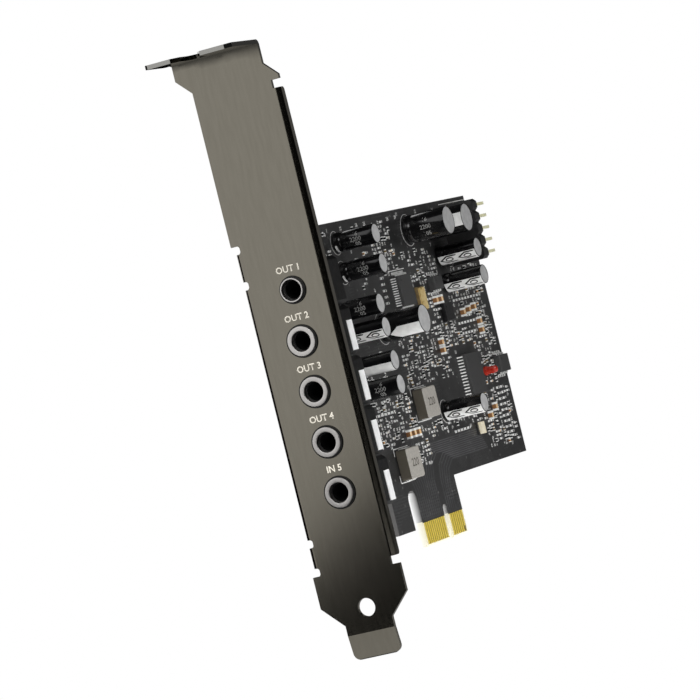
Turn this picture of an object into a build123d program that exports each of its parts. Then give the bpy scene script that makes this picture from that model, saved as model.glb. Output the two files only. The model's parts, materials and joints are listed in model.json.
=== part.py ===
from build123d import *
import os

# Sound card for a one-lane slot of a desktop computer, in millimetres.
# X runs from the outer face of the bracket into the computer, +Z is up, and the
# component side of the board faces -Y. The origin lies on the underside of the
# screw tab, in the outer face of the bracket, on the board's middle plane.

# Bracket sheet and outline
SHEET = 0.86
BRACKET_WIDTH = 18.42
BRACKET_PAST_BOARD = 3.9
TAB_WIDTH = 18.7
TAB_PAST_BOARD = 6.85
TAB_LENGTH = 11.43
SHOULDER_DROP = 3.0
FOOT_BELOW_TAB = 107.95
FOOT_SLANT = 4.2
TONGUE_WIDTH = 10.0
TONGUE_LENGTH = 5.0
TONGUE_ROOT = 2.0
TONGUE_CORNER = 1.4
TONGUE_LEAN = 8
BEND_RADIUS = 1.05
TAB_NOTCH = 2.6
TAB_NOTCH_DEPTH = 0.9

# Open screw slot of the tab
SCREW_SLOT_WIDTH = 3.8
SCREW_SLOT_DEPTH = 6.6
SCREW_SLOT_OFFSET = -1.7
SCREW_MOUTH_WIDTH = 6.4
SCREW_MOUTH_DEPTH = 1.9

# Folded long edges and the notches that relieve them, as depths below the tab
FLANGE_DEPTH = 2.3
FLANGE_INSET = 0.43
NOTCH_REACH = 1.75
NOTCH_HEIGHT = 1.6
NOTCH_CORNER = 0.55
FLANGE_CORNER = 0.7
UPPER_EAR_HEIGHT = 5.4
LOWER_EAR_HEIGHT = 4.0
COMPONENT_FLANGE_TOP = 9.0
COMPONENT_FLANGE_HEIGHT = 91.9

# Ears that carry the board
EAR_JOG_START = 2.2
EAR_JOG_LENGTH = 2.0
EAR_LENGTH = 12.4
EAR_PAD_HEIGHT = 6.0
EAR_HOLE = 3.0
EAR_SCREW_X = 9.2
UPPER_EAR_ABOVE_SCREW = 1.0
LOWER_EAR_ABOVE_SCREW = -0.55

# Round hole near the foot
FOOT_HOLE = 3.6
FOOT_HOLE_Y = -5.6
FOOT_HOLE_BELOW_TAB = 109.45

# Board outline, with heights counted from the lower edge of the plug
BOARD_THICKNESS = 1.57
PLUG_BELOW_TAB = 103.2
BOARD_BOTTOM = 12.08
BOARD_PAST_SCREW = 3.4
BOARD_START = 1.2
BOARD_END = 108.3
KEY_X = 59.05
KEY_WIDTH = 1.9
KEY_HEIGHT = 7.1
PLUG_LONG_SIDE = 11.65
PLUG_SHORT_SIDE = 7.65
PLUG_SLOT_WIDTH = 4.1
PLUG_SLOT_HEIGHT = 11.77
LEG_WIDTH = 8.4
LEG_BOTTOM = 3.97
LOBE_WIDTH = 13.0
BOARD_HOLE = 3.2
PLUG_BEVEL = 0.35

# Contacts of the plug
CONTACT_PITCH = 1.0
CONTACT_WIDTH = 0.7
CONTACT_BOTTOM = 0.5
CONTACT_HEIGHT = 4.4
CONTACT_THICKNESS = 0.04
CONTACT_SHORTER = 1.1
LONG_SIDE_CONTACTS = 11
SHORT_SIDE_CONTACTS = 7

# Board screws
SCREW_SHANK = 2.9
SCREW_HEAD = 5.2
SCREW_HEAD_HEIGHT = 1.7
SCREW_LENGTH = 3.4
SCREW_CROWN = 0.42
SCREW_RECESS = 0.9
RECESS_SHARE = 0.6
UPPER_SCREW_GAP = 0.66
LOWER_SCREW_GAP = 1.32

# Audio jacks, from the top one down
JACK_NAMES = ["side", "centre", "rear", "front", "line_in"]
JACK_PITCH = 9.93
TOP_JACK_HEIGHT = 56.04
JACK_AXIS_Y = -6.02
TOP_JACK_AXIS_Y = -6.7
JACK_GAP = 0.1
JACK_DEPTH = 12.3
JACK_SPACING = 0.33
JACK_TALL = 10.5
JACK_CORNER = 0.8
JACK_BORE = 3.6
JACK_BORE_DEPTH = 12.0
NOSE_DIAMETER = 6.4
TOP_NOSE_DIAMETER = 5.4
NOSE_PROUD = 0.35
NOSE_CLEARANCE = 0.05
RING_DIAMETER = 5.8
TOP_RING_DIAMETER = 4.7
RING_OPENING = 4.4
TOP_RING_OPENING = 4.3
RING_DEPTH = 0.9
RING_PROUD = 0.3
TOP_RING_PROUD = 0.5
INSERT_LENGTH = 2.4
INSERT_HEIGHT = 5.9
INSERT_DEPTH = 3.0
INSERT_LOW = 4.1
INSERT_PROUD = 0.15
INSERT_FROM_BACK = 0.5
BLADE_THICKNESS = 0.3
BLADE_LENGTH = 2.0
BLADE_TAIL = 0.9
BLADE_PAST_BOARD = 1.4
BLADE_ABOVE_AXIS = 1.2
BLADE_SHELF = 0.5
BLADE_CLEARANCE = 0.06
BLADE_STARTS = [5.0, 9.2]

# Standing capacitors as (distance from bracket, height above plug edge)
SMALL_CAN_DIAMETER = 4.0
SMALL_CAN_LENGTH = 9.0
LARGE_CAN_DIAMETER = 5.8
LARGE_CAN_LENGTH = 9.4
BUNG_SHARE = 0.78
CAN_STANDOFF = 0.35
CAN_GROOVE_HEIGHT = 1.7
CAN_GROOVE_DEPTH = 0.22
CAN_GROOVE_END = 2.1
CAN_ROUNDING = 0.35
SMALL_CANS = [
    (38.1, 63.25), (38.1, 57.2), (32.0, 49.6), (32.0, 44.85), (32.2, 38.15),
    (32.2, 33.2), (87.6, 56.1), (87.5, 50.4), (71.2, 25.0),
]
LARGE_CANS = [(50.5, 44.55), (74.9, 62.8), (84.7, 62.6)]

# Moulded chokes
CHOKE_LENGTH = 6.6
CHOKE_WIDTH = 6.2
CHOKE_HEIGHT = 2.45
CHOKE_CORNER = 0.5
CHOKE_TERMINAL_WIDTH = 3.0
CHOKE_TERMINAL_RISE = 1.3
CHOKE_TERMINAL_REACH = 1.6
CHOKE_TERMINAL_SHEET = 0.15
CHOKES = [(60.05, 27.9), (44.75, 17.2)]

# Chips
CHIP_STANDOFF = 0.1
CHIP_CHAMFER = 0.14
PIN_ONE_DOT = 0.7
PIN_ONE_DEPTH = 0.08
DOT_INSET = 0.9
LEAD_SHEET = 0.15
LEAD_SHARE = 0.42
LEAD_KNEE = 0.4
CODEC_PLACE = (64.1, 50.95)
CODEC_SIDE = 6.4
CODEC_HEIGHT = 1.5
CODEC_LEAD_PITCH = 0.5
CODEC_LEADS_A_SIDE = 12
CODEC_LEAD_REACH = 0.9
CONTROLLER_PLACE = (88.55, 30.9)
CONTROLLER_LENGTH = 7.5
CONTROLLER_WIDTH = 8.8
CONTROLLER_HEIGHT = 1.6
CONTROLLER_LEAD_PITCH = 0.65
CONTROLLER_LEADS_A_SIDE = 13
CONTROLLER_LEAD_REACH = 1.1
AMPLIFIER_PLACE = (104.85, 31.3)
AMPLIFIER_LENGTH = 4.9
AMPLIFIER_WIDTH = 3.6
DRIVER_PLACE = (80.6, 51.0)
DRIVER_LENGTH = 4.4
DRIVER_WIDTH = 2.9
EIGHT_LEAD_HEIGHT = 1.6
EIGHT_LEAD_PITCH = 1.1
EIGHT_LEAD_REACH = 1.0
LEADS_A_SIDE = 4
POWER_CHIP_PLACE = (83.9, 44.6)
POWER_CHIP_LENGTH = 4.6
POWER_CHIP_WIDTH = 3.8
POWER_CHIP_HEIGHT = 1.0

# Pin header
HEADER_START = 94.0
HEADER_WIDTH = 2.54
HEADER_TOP = 66.15
HEADER_TALL = 7.4
HEADER_PITCH = 2.54
HEADER_PLACES = 5
HEADER_ROWS = 2
HEADER_NOTCH = 0.44
PIN_SIDE = 0.64
PIN_FIT = 0.04
PIN_ROOT = 2.0
PIN_LENGTH = 6.0

# Crystal, oscillator and lamp
CRYSTAL_PLACE = (72.6, 48.5)
CRYSTAL_LENGTH = 3.2
CRYSTAL_WIDTH = 5.0
CRYSTAL_BASE = 0.6
CRYSTAL_LID = 0.35
CRYSTAL_MARGIN = 0.25
OSCILLATOR_PLACE = (86.6, 19.6)
OSCILLATOR_LENGTH = 3.2
OSCILLATOR_WIDTH = 2.5
OSCILLATOR_HEIGHT = 1.0
LAMP_PLACE = (97.0, 30.6)
LAMP_DIAMETER = 1.6
LAMP_FLANGE = 2.0
LAMP_FLANGE_HEIGHT = 0.5
LAMP_HEIGHT = 2.9

# Chip capacitors and resistors, each row as (x, height, step in x, step up, count)
CHIP_CAPACITOR_SIZE = (2.0, 1.25, 0.9)
CHIP_RESISTOR_SIZE = (1.0, 0.5, 0.35)
CHIP_CAPACITOR_ROWS = [
    (49.6, 22.7, 2.4, 0.0, 3),
    (79.4, 47.5, 2.6, 0.0, 2),
    (92.0, 43.7, 3.1, 0.3, 3),
    (76.9, 37.2, 0.0, 1.7, 2),
    (99.5, 39.2, 0.0, 1.9, 2),
    (93.2, 21.5, 3.3, 1.5, 2),
]
CHIP_RESISTOR_ROWS = [
    (55.6, 59.6, 0.0, -1.3, 9),
    (58.2, 59.6, 0.0, -1.3, 3),
    (76.4, 43.2, 0.0, -1.2, 3),
    (89.6, 46.5, 1.6, 0.0, 9),
    (89.6, 41.6, 1.6, 0.0, 6),
    (90.4, 39.4, 1.6, 0.0, 5),
    (101.0, 26.6, 0.0, -1.2, 9),
    (103.2, 26.6, 0.0, -1.2, 9),
    (36.6, 27.9, 1.7, 0.0, 6),
    (74.0, 20.4, 1.7, 0.0, 5),
]

# Worked out from the sizes above
JACK_WIDTH = JACK_PITCH - JACK_SPACING
LAST_JACK_HEIGHT = TOP_JACK_HEIGHT - JACK_PITCH * (len(JACK_NAMES) - 1)
UPPER_SCREW_HEIGHT = TOP_JACK_HEIGHT + JACK_WIDTH / 2 + UPPER_SCREW_GAP + SCREW_HEAD / 2
LOWER_SCREW_HEIGHT = LAST_JACK_HEIGHT - JACK_WIDTH / 2 - LOWER_SCREW_GAP - SCREW_HEAD / 2
UPPER_EAR_TOP = PLUG_BELOW_TAB - UPPER_SCREW_HEIGHT - UPPER_EAR_ABOVE_SCREW
LOWER_EAR_TOP = PLUG_BELOW_TAB - LOWER_SCREW_HEIGHT - LOWER_EAR_ABOVE_SCREW
BOARD_TOP = UPPER_SCREW_HEIGHT + BOARD_PAST_SCREW
LOBE_BOTTOM = LOWER_SCREW_HEIGHT - BOARD_PAST_SCREW
BRACKET_TOP = SHEET
BRACKET_FAR = BRACKET_PAST_BOARD - BRACKET_WIDTH
BOARD_HALF = BOARD_THICKNESS / 2
PLUG_Z = -PLUG_BELOW_TAB
TONGUE_Y = (BRACKET_PAST_BOARD + BRACKET_FAR) / 2
COMPONENT_FACE = Plane(origin=(0, -BOARD_HALF, PLUG_Z), x_dir=(1, 0, 0), z_dir=(0, -1, 0))
OUTWARD = Vector(0, -1, 0)
RIGHT = (1, 0, 0)
LEFT = (-1, 0, 0)
UPWARD = (0, 0, 1)
DOWNWARD = (0, 0, -1)

os.makedirs("parts", exist_ok=True)


def save(piece, name):
    piece.label = name
    export_step(piece, "parts/" + name + ".step")


def on_board(x, height, out=0.0):
    """A point over the component face, from board coordinates."""
    return COMPONENT_FACE.from_local_coords(Vector(x, height, out))


def standing_plane(x, height):
    """A sketch plane through an axis that stands on the board: across, then outward."""
    return Plane(origin=on_board(x, height), x_dir=(1, 0, 0), z_dir=(0, 0, -1))


def jack_axis(index):
    """Y and Z of a jack's axis, counted from the top jack."""
    y = TOP_JACK_AXIS_Y if index == 0 else JACK_AXIS_Y
    return y, PLUG_Z + TOP_JACK_HEIGHT - index * JACK_PITCH


def nose_diameter(index):
    return TOP_NOSE_DIAMETER if index == 0 else NOSE_DIAMETER


def edge_notches():
    """Each relief notch as (side, top), and each folded length as (side, top, height)."""
    upper_end = UPPER_EAR_TOP + UPPER_EAR_HEIGHT
    lower_end = LOWER_EAR_TOP + LOWER_EAR_HEIGHT
    between = upper_end + NOTCH_HEIGHT
    notches = [
        (1, UPPER_EAR_TOP - NOTCH_HEIGHT),
        (1, upper_end),
        (1, LOWER_EAR_TOP - NOTCH_HEIGHT),
        (1, lower_end),
        (-1, COMPONENT_FLANGE_TOP - NOTCH_HEIGHT),
        (-1, COMPONENT_FLANGE_TOP + COMPONENT_FLANGE_HEIGHT),
    ]
    folds = [
        (1, UPPER_EAR_TOP, UPPER_EAR_HEIGHT),
        (1, between, LOWER_EAR_TOP - NOTCH_HEIGHT - between),
        (1, LOWER_EAR_TOP, LOWER_EAR_HEIGHT),
        (-1, COMPONENT_FLANGE_TOP, COMPONENT_FLANGE_HEIGHT),
    ]
    return notches, folds


def edge_y(side, inset):
    """Y at a distance inward from a long edge: side 1 is the solder side."""
    if side > 0:
        return BRACKET_PAST_BOARD - inset
    return BRACKET_FAR + inset


def fold_outline(side):
    """Section of a folded long edge, from the plate round the bend to its free edge."""
    outer = edge_y(side, FLANGE_INSET)
    inner = edge_y(side, FLANGE_INSET + SHEET)
    root = edge_y(side, NOTCH_REACH)
    return [
        (0, root), (0, outer), (FLANGE_DEPTH, outer),
        (FLANGE_DEPTH, inner), (SHEET, inner), (SHEET, root),
    ]


def ear_outline():
    """Section of an ear: out of the folded edge, jogged across to the solder face."""
    outer = BRACKET_PAST_BOARD - FLANGE_INSET
    seat = BOARD_HALF
    jog_end = EAR_JOG_START + EAR_JOG_LENGTH
    return [
        (EAR_JOG_START - SHEET, outer), (EAR_JOG_START, outer), (jog_end, seat + SHEET),
        (EAR_LENGTH, seat + SHEET), (EAR_LENGTH, seat), (jog_end - SHEET / 2, seat),
        (EAR_JOG_START - SHEET / 2, outer - SHEET), (EAR_JOG_START - SHEET, outer - SHEET),
    ]


# Bracket
notches, folds = edge_notches()
shoulder_solder = TAB_PAST_BOARD - BRACKET_PAST_BOARD
shoulder_component = TAB_WIDTH - TAB_PAST_BOARD + BRACKET_FAR
tab_far = TAB_PAST_BOARD - TAB_WIDTH
foot_z = -FOOT_BELOW_TAB
bend_z = foot_z - FOOT_SLANT - TONGUE_ROOT
tongue_half = TONGUE_WIDTH / 2
with BuildPart() as bracket:
    with BuildSketch(Plane.YZ):
        with BuildLine():
            Polyline(
                (TAB_PAST_BOARD, BRACKET_TOP),
                (TAB_PAST_BOARD, -SHOULDER_DROP),
                (BRACKET_PAST_BOARD, -SHOULDER_DROP - shoulder_solder),
                (BRACKET_PAST_BOARD, foot_z),
                (TONGUE_Y + tongue_half, foot_z - FOOT_SLANT),
                (TONGUE_Y + tongue_half, bend_z),
                (TONGUE_Y - tongue_half, bend_z),
                (TONGUE_Y - tongue_half, foot_z - FOOT_SLANT),
                (BRACKET_FAR, foot_z),
                (BRACKET_FAR, -SHOULDER_DROP - SHEET + shoulder_component),
                (tab_far, -SHOULDER_DROP - SHEET),
                (tab_far, BRACKET_TOP),
                close=True,
            )
        make_face()
    extrude(amount=SHEET)
    # The folded lengths give way to the rounded sections made below
    for side, top, height in folds:
        with Locations((SHEET / 2, edge_y(side, NOTCH_REACH / 2), -top - height / 2)):
            Box(2 * SHEET, NOTCH_REACH, height, mode=Mode.SUBTRACT)
    # Notches: rounded at their inner end on the solder side, square on the other
    with BuildSketch(Plane.YZ):
        for side, top in notches:
            with Locations((edge_y(side, 0), -top - NOTCH_HEIGHT / 2)):
                if side > 0:
                    RectangleRounded(2 * NOTCH_REACH, NOTCH_HEIGHT, NOTCH_CORNER)
                else:
                    Rectangle(2 * NOTCH_REACH, NOTCH_HEIGHT)
    extrude(amount=SHEET, mode=Mode.SUBTRACT)
    for side, top, height in folds:
        outer = edge_y(side, FLANGE_INSET)
        with BuildSketch(Plane.XY.offset(-top - height)):
            with BuildLine():
                Polyline(*fold_outline(side), close=True)
            make_face()
        extrude(amount=height)
        bends = bracket.edges(Select.LAST).filter_by(Axis.Z)
        fillet([e for e in bends if e.center().X < 0.01 and abs(e.center().Y - outer) < 0.01], BEND_RADIUS)
        # A length that carries no ear has its free corners rounded
        if height > EAR_LENGTH:
            ends = bracket.edges().filter_by(Axis.Y).filter_by_position(Axis.Z, -top - height, -top)
            ends = ends.filter_by(lambda e: e.center().X > FLANGE_DEPTH - 0.01)
            fillet([e for e in ends if abs(e.center().Y - outer) < SHEET], FLANGE_CORNER)
    # Screw tab, folded outward over the top
    with Locations(((SHEET - TAB_LENGTH) / 2, (TAB_PAST_BOARD + tab_far) / 2, SHEET / 2)):
        Box(TAB_LENGTH + SHEET, TAB_WIDTH, SHEET)
    top_edge = bracket.edges().filter_by(Axis.Y).sort_by(lambda e: e.center().X + e.center().Z)[-1]
    fillet(top_edge, BEND_RADIUS)
    with BuildSketch(Plane.XY):
        with BuildLine():
            Polyline(
                (-TAB_LENGTH, SCREW_SLOT_OFFSET - SCREW_MOUTH_WIDTH / 2),
                (-TAB_LENGTH, SCREW_SLOT_OFFSET + SCREW_MOUTH_WIDTH / 2),
                (SCREW_MOUTH_DEPTH - TAB_LENGTH, SCREW_SLOT_OFFSET + SCREW_SLOT_WIDTH / 2),
                (SCREW_MOUTH_DEPTH - TAB_LENGTH, SCREW_SLOT_OFFSET - SCREW_SLOT_WIDTH / 2),
                close=True,
            )
        make_face()
        with Locations((SCREW_SLOT_DEPTH / 2 - TAB_LENGTH, SCREW_SLOT_OFFSET)):
            SlotOverall(SCREW_SLOT_DEPTH, SCREW_SLOT_WIDTH)
        with Locations((SCREW_SLOT_DEPTH / 4 - TAB_LENGTH, SCREW_SLOT_OFFSET)):
            Rectangle(SCREW_SLOT_DEPTH / 2, SCREW_SLOT_WIDTH)
        with Locations((-TAB_NOTCH / 2 - SHEET / 2, TAB_PAST_BOARD)):
            Rectangle(TAB_NOTCH, 2 * TAB_NOTCH_DEPTH)
    extrude(amount=SHEET, mode=Mode.SUBTRACT)
    # Ears behind the board, each with a threaded hole
    for top, height, screw_height in (
        (UPPER_EAR_TOP, UPPER_EAR_HEIGHT, UPPER_SCREW_HEIGHT),
        (LOWER_EAR_TOP, LOWER_EAR_HEIGHT, LOWER_SCREW_HEIGHT),
    ):
        with BuildSketch(Plane.XY.offset(-top - height)):
            with BuildLine():
                Polyline(*ear_outline(), close=True)
            make_face()
        extrude(amount=height)
        pad_length = EAR_LENGTH - EAR_JOG_START - EAR_JOG_LENGTH
        pad_x = EAR_LENGTH - pad_length / 2
        with Locations((pad_x, BOARD_HALF + SHEET / 2, PLUG_Z + screw_height)):
            Box(pad_length, SHEET, EAR_PAD_HEIGHT)
        with BuildSketch(COMPONENT_FACE):
            with Locations((EAR_SCREW_X, screw_height)):
                Circle(EAR_HOLE / 2)
        extrude(amount=-BOARD_THICKNESS - 2 * SHEET, mode=Mode.SUBTRACT)
    # Holes for the jacks, and the round hole near the foot
    with BuildSketch(Plane.YZ):
        for index in range(len(JACK_NAMES)):
            with Locations(jack_axis(index)):
                Circle(nose_diameter(index) / 2 + NOSE_CLEARANCE)
        with Locations((FOOT_HOLE_Y, -FOOT_HOLE_BELOW_TAB)):
            Circle(FOOT_HOLE / 2)
    extrude(amount=SHEET, mode=Mode.SUBTRACT)
    # Tongue, leaning in to slip behind the case's lip
    with BuildSketch(Plane.XZ.offset(-TONGUE_Y - tongue_half)):
        with BuildLine():
            start = Line((SHEET, bend_z), (0, bend_z))
            down = PolarLine(start @ 1, TONGUE_LENGTH, angle=TONGUE_LEAN - 90)
            across = PolarLine(down @ 1, SHEET, angle=TONGUE_LEAN)
            Line(across @ 1, start @ 0)
        make_face()
    extrude(amount=TONGUE_WIDTH)
    low = bracket.faces().sort_by(Axis.Z)[0]
    corners = low.edges().group_by(SortBy.LENGTH)[0]
    fillet(corners, TONGUE_CORNER)
save(bracket.part, "bracket")

# Circuit board
leg_end = KEY_X - KEY_WIDTH / 2 - PLUG_LONG_SIDE - PLUG_SLOT_WIDTH
plug_start = leg_end + PLUG_SLOT_WIDTH
plug_end = KEY_X + KEY_WIDTH / 2 + PLUG_SHORT_SIDE
blade_z = JACK_BORE / 2 + BLADE_THICKNESS / 2
jack_back = SHEET + JACK_GAP + JACK_DEPTH
with BuildPart() as circuit_board:
    with BuildSketch(COMPONENT_FACE):
        with BuildLine():
            Polyline(
                (BOARD_START, BOARD_TOP), (BOARD_END, BOARD_TOP), (BOARD_END, BOARD_BOTTOM),
                (plug_end, BOARD_BOTTOM), (plug_end, 0), (plug_start, 0),
                (plug_start, BOARD_BOTTOM), (leg_end, BOARD_BOTTOM), (leg_end, LEG_BOTTOM),
                (leg_end - LEG_WIDTH, LEG_BOTTOM), (leg_end - LEG_WIDTH, BOARD_BOTTOM),
                (LOBE_WIDTH, BOARD_BOTTOM), (LOBE_WIDTH, LOBE_BOTTOM), (BOARD_START, LOBE_BOTTOM),
                close=True,
            )
        make_face()
        # The slot beside the plug and the key both end in a full round
        slot_round = PLUG_SLOT_WIDTH / 2
        with Locations((plug_start - slot_round, BOARD_BOTTOM)):
            Rectangle(PLUG_SLOT_WIDTH, PLUG_SLOT_WIDTH, align=(Align.CENTER, Align.MAX))
        with Locations((plug_start - slot_round, 0)):
            Rectangle(
                PLUG_SLOT_WIDTH, PLUG_SLOT_HEIGHT - slot_round,
                align=(Align.CENTER, Align.MIN), mode=Mode.SUBTRACT,
            )
        with Locations((plug_start - slot_round, PLUG_SLOT_HEIGHT - slot_round)):
            Circle(slot_round, mode=Mode.SUBTRACT)
        with Locations((KEY_X, 0)):
            Rectangle(
                KEY_WIDTH, KEY_HEIGHT - KEY_WIDTH / 2,
                align=(Align.CENTER, Align.MIN), mode=Mode.SUBTRACT,
            )
        with Locations((KEY_X, KEY_HEIGHT - KEY_WIDTH / 2)):
            Circle(KEY_WIDTH / 2, mode=Mode.SUBTRACT)
        with Locations((EAR_SCREW_X, UPPER_SCREW_HEIGHT), (EAR_SCREW_X, LOWER_SCREW_HEIGHT)):
            Circle(BOARD_HOLE / 2, mode=Mode.SUBTRACT)
        # Narrow slots for the tails of the jack blades
        for index in range(len(JACK_NAMES)):
            height = TOP_JACK_HEIGHT - index * JACK_PITCH
            for start in BLADE_STARTS:
                tail_x = start + BLADE_LENGTH / 2
                with Locations((tail_x, height + blade_z), (tail_x, height - blade_z)):
                    Rectangle(
                        BLADE_TAIL + 2 * BLADE_CLEARANCE, BLADE_THICKNESS + 2 * BLADE_CLEARANCE,
                        mode=Mode.SUBTRACT,
                    )
    extrude(amount=-BOARD_THICKNESS)
    foot_edges = circuit_board.edges().filter_by(Axis.X).group_by(Axis.Z)[0]
    chamfer(foot_edges, PLUG_BEVEL)
save(circuit_board.part, "circuit_board")

# Contacts of the plug, on both faces
long_start = plug_start + (PLUG_LONG_SIDE - (LONG_SIDE_CONTACTS - 1) * CONTACT_PITCH) / 2
short_start = plug_end - (PLUG_SHORT_SIDE + (SHORT_SIDE_CONTACTS - 1) * CONTACT_PITCH) / 2
contact_places = [long_start + i * CONTACT_PITCH for i in range(LONG_SIDE_CONTACTS)]
contact_places += [short_start + i * CONTACT_PITCH for i in range(SHORT_SIDE_CONTACTS)]
with BuildPart() as edge_contacts:
    for face, amount in ((COMPONENT_FACE, 1), (COMPONENT_FACE.offset(-BOARD_THICKNESS), -1)):
        for place in contact_places:
            short_one = CONTACT_SHORTER if place == contact_places[-1] else 0
            with BuildSketch(face):
                with Locations((place, CONTACT_BOTTOM + short_one)):
                    Rectangle(
                        CONTACT_WIDTH, CONTACT_HEIGHT - short_one, align=(Align.CENTER, Align.MIN)
                    )
            extrude(amount=amount * CONTACT_THICKNESS)
save(edge_contacts.part, "edge_contacts")

# Screws through the board into the ears
with BuildPart() as bracket_screws:
    for screw_height in (UPPER_SCREW_HEIGHT, LOWER_SCREW_HEIGHT):
        with BuildSketch(COMPONENT_FACE):
            with Locations((EAR_SCREW_X, screw_height)):
                Circle(SCREW_HEAD / 2)
        extrude(amount=SCREW_HEAD_HEIGHT)
        with BuildSketch(COMPONENT_FACE):
            with Locations((EAR_SCREW_X, screw_height)):
                Circle(SCREW_SHANK / 2)
        extrude(amount=-SCREW_LENGTH)
        with BuildSketch(COMPONENT_FACE.offset(SCREW_HEAD_HEIGHT)):
            with Locations((EAR_SCREW_X, screw_height)):
                Rectangle(SCREW_HEAD * RECESS_SHARE, SCREW_RECESS)
                Rectangle(SCREW_RECESS, SCREW_HEAD * RECESS_SHARE)
        extrude(amount=-SCREW_RECESS, mode=Mode.SUBTRACT)
    crowns = bracket_screws.edges().filter_by(GeomType.CIRCLE).group_by(Axis.Y)[0]
    chamfer(crowns, SCREW_CROWN)
save(bracket_screws.part, "bracket_screws")


def blade_outline(axis_height):
    """A contact blade: wide beside the bore, narrow where it passes the board."""
    half_tail = BLADE_TAIL / 2
    half_blade = BLADE_LENGTH / 2
    top = axis_height + BLADE_ABOVE_AXIS
    shelf = BLADE_SHELF
    return [
        (-half_blade, top), (half_blade, top), (half_blade, shelf), (half_tail, shelf),
        (half_tail, -BOARD_THICKNESS - BLADE_PAST_BOARD),
        (-half_tail, -BOARD_THICKNESS - BLADE_PAST_BOARD), (-half_tail, shelf), (-half_blade, shelf),
    ]


def jack_pieces(index):
    """Housing, ring and blades of one jack, and the pale insert that the top jack lacks."""
    axis_y, axis_z = jack_axis(index)
    axis_height = -axis_y - BOARD_HALF
    nose = nose_diameter(index)
    ring_outside = TOP_RING_DIAMETER if index == 0 else RING_DIAMETER
    ring_inside = TOP_RING_OPENING if index == 0 else RING_OPENING
    ring_proud = TOP_RING_PROUD if index == 0 else RING_PROUD
    front = SHEET + JACK_GAP
    mid_height = axis_z - PLUG_Z
    face = Plane(origin=(-NOSE_PROUD, axis_y, axis_z), x_dir=(0, 1, 0), z_dir=(1, 0, 0))

    with BuildPart() as housing:
        with BuildSketch(COMPONENT_FACE):
            with Locations((front + JACK_DEPTH / 2, mid_height)):
                Rectangle(JACK_DEPTH, JACK_WIDTH)
        extrude(amount=JACK_TALL)
        outer_edges = housing.faces().sort_by(Axis.Y)[0].edges().filter_by(Axis.X)
        chamfer(outer_edges, JACK_CORNER)
        with BuildSketch(face):
            Circle(nose / 2)
        extrude(amount=NOSE_PROUD + front)
        with BuildSketch(face):
            Circle(ring_outside / 2)
        extrude(amount=RING_DEPTH, mode=Mode.SUBTRACT)
        with BuildSketch(face):
            Circle(JACK_BORE / 2)
        extrude(amount=JACK_BORE_DEPTH, mode=Mode.SUBTRACT)
        for start in BLADE_STARTS:
            for side in (-1, 1):
                centre = mid_height + side * blade_z
                with BuildSketch(COMPONENT_FACE):
                    with Locations((start + BLADE_LENGTH / 2, centre)):
                        Rectangle(
                            BLADE_LENGTH + 2 * BLADE_CLEARANCE,
                            BLADE_THICKNESS + 2 * BLADE_CLEARANCE,
                        )
                extrude(amount=axis_height + BLADE_ABOVE_AXIS + BLADE_CLEARANCE, mode=Mode.SUBTRACT)
        if index > 0:
            with BuildSketch(COMPONENT_FACE.offset(JACK_TALL - INSERT_DEPTH)):
                with Locations((jack_back - INSERT_FROM_BACK, mid_height - INSERT_LOW)):
                    Rectangle(INSERT_LENGTH, INSERT_HEIGHT, align=(Align.MAX, Align.MIN))
            extrude(amount=INSERT_DEPTH, mode=Mode.SUBTRACT)
    save(housing.part, JACK_NAMES[index] + "_jack_housing")

    with BuildPart() as ring:
        with BuildSketch(face.offset(-ring_proud)):
            Circle(ring_outside / 2)
            Circle(ring_inside / 2, mode=Mode.SUBTRACT)
        extrude(amount=RING_DEPTH + ring_proud)
    save(ring.part, JACK_NAMES[index] + "_jack_ring")

    with BuildPart() as blades:
        for start in BLADE_STARTS:
            for side in (-1, 1):
                middle = on_board(start + BLADE_LENGTH / 2, mid_height + side * blade_z)
                with BuildSketch(Plane(origin=middle, x_dir=(1, 0, 0), z_dir=(0, 0, -1))):
                    with BuildLine():
                        Polyline(*blade_outline(axis_height), close=True)
                    make_face()
                extrude(amount=BLADE_THICKNESS / 2, both=True)
    save(blades.part, JACK_NAMES[index] + "_jack_blades")

    if index > 0:
        with BuildPart() as insert:
            with BuildSketch(COMPONENT_FACE.offset(JACK_TALL - INSERT_DEPTH)):
                with Locations((jack_back - INSERT_FROM_BACK, mid_height - INSERT_LOW)):
                    Rectangle(INSERT_LENGTH, INSERT_HEIGHT, align=(Align.MAX, Align.MIN))
            extrude(amount=INSERT_DEPTH + INSERT_PROUD)
        save(insert.part, JACK_NAMES[index] + "_jack_insert")


for jack_index in range(len(JACK_NAMES)):
    jack_pieces(jack_index)


def capacitor(diameter, length, place):
    """A standing can: rubber foot, rolled groove and rounded shoulder."""
    radius = diameter / 2
    with BuildPart() as can:
        with BuildSketch(standing_plane(*place)):
            with BuildLine():
                Polyline(
                    (0, 0), (radius * BUNG_SHARE, 0), (radius, CAN_STANDOFF),
                    (radius - CAN_GROOVE_DEPTH, CAN_GROOVE_HEIGHT),
                    (radius, CAN_GROOVE_END), (radius, length - CAN_ROUNDING),
                    (radius - CAN_ROUNDING, length), (0, length),
                    close=True,
                )
            make_face()
        revolve(axis=Axis(on_board(*place), OUTWARD))
    return can.part


can_number = 0
for diameter, length, places in (
    (SMALL_CAN_DIAMETER, SMALL_CAN_LENGTH, SMALL_CANS),
    (LARGE_CAN_DIAMETER, LARGE_CAN_LENGTH, LARGE_CANS),
):
    for place in places:
        can_number += 1
        save(capacitor(diameter, length, place), "capacitor_" + str(can_number))

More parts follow.
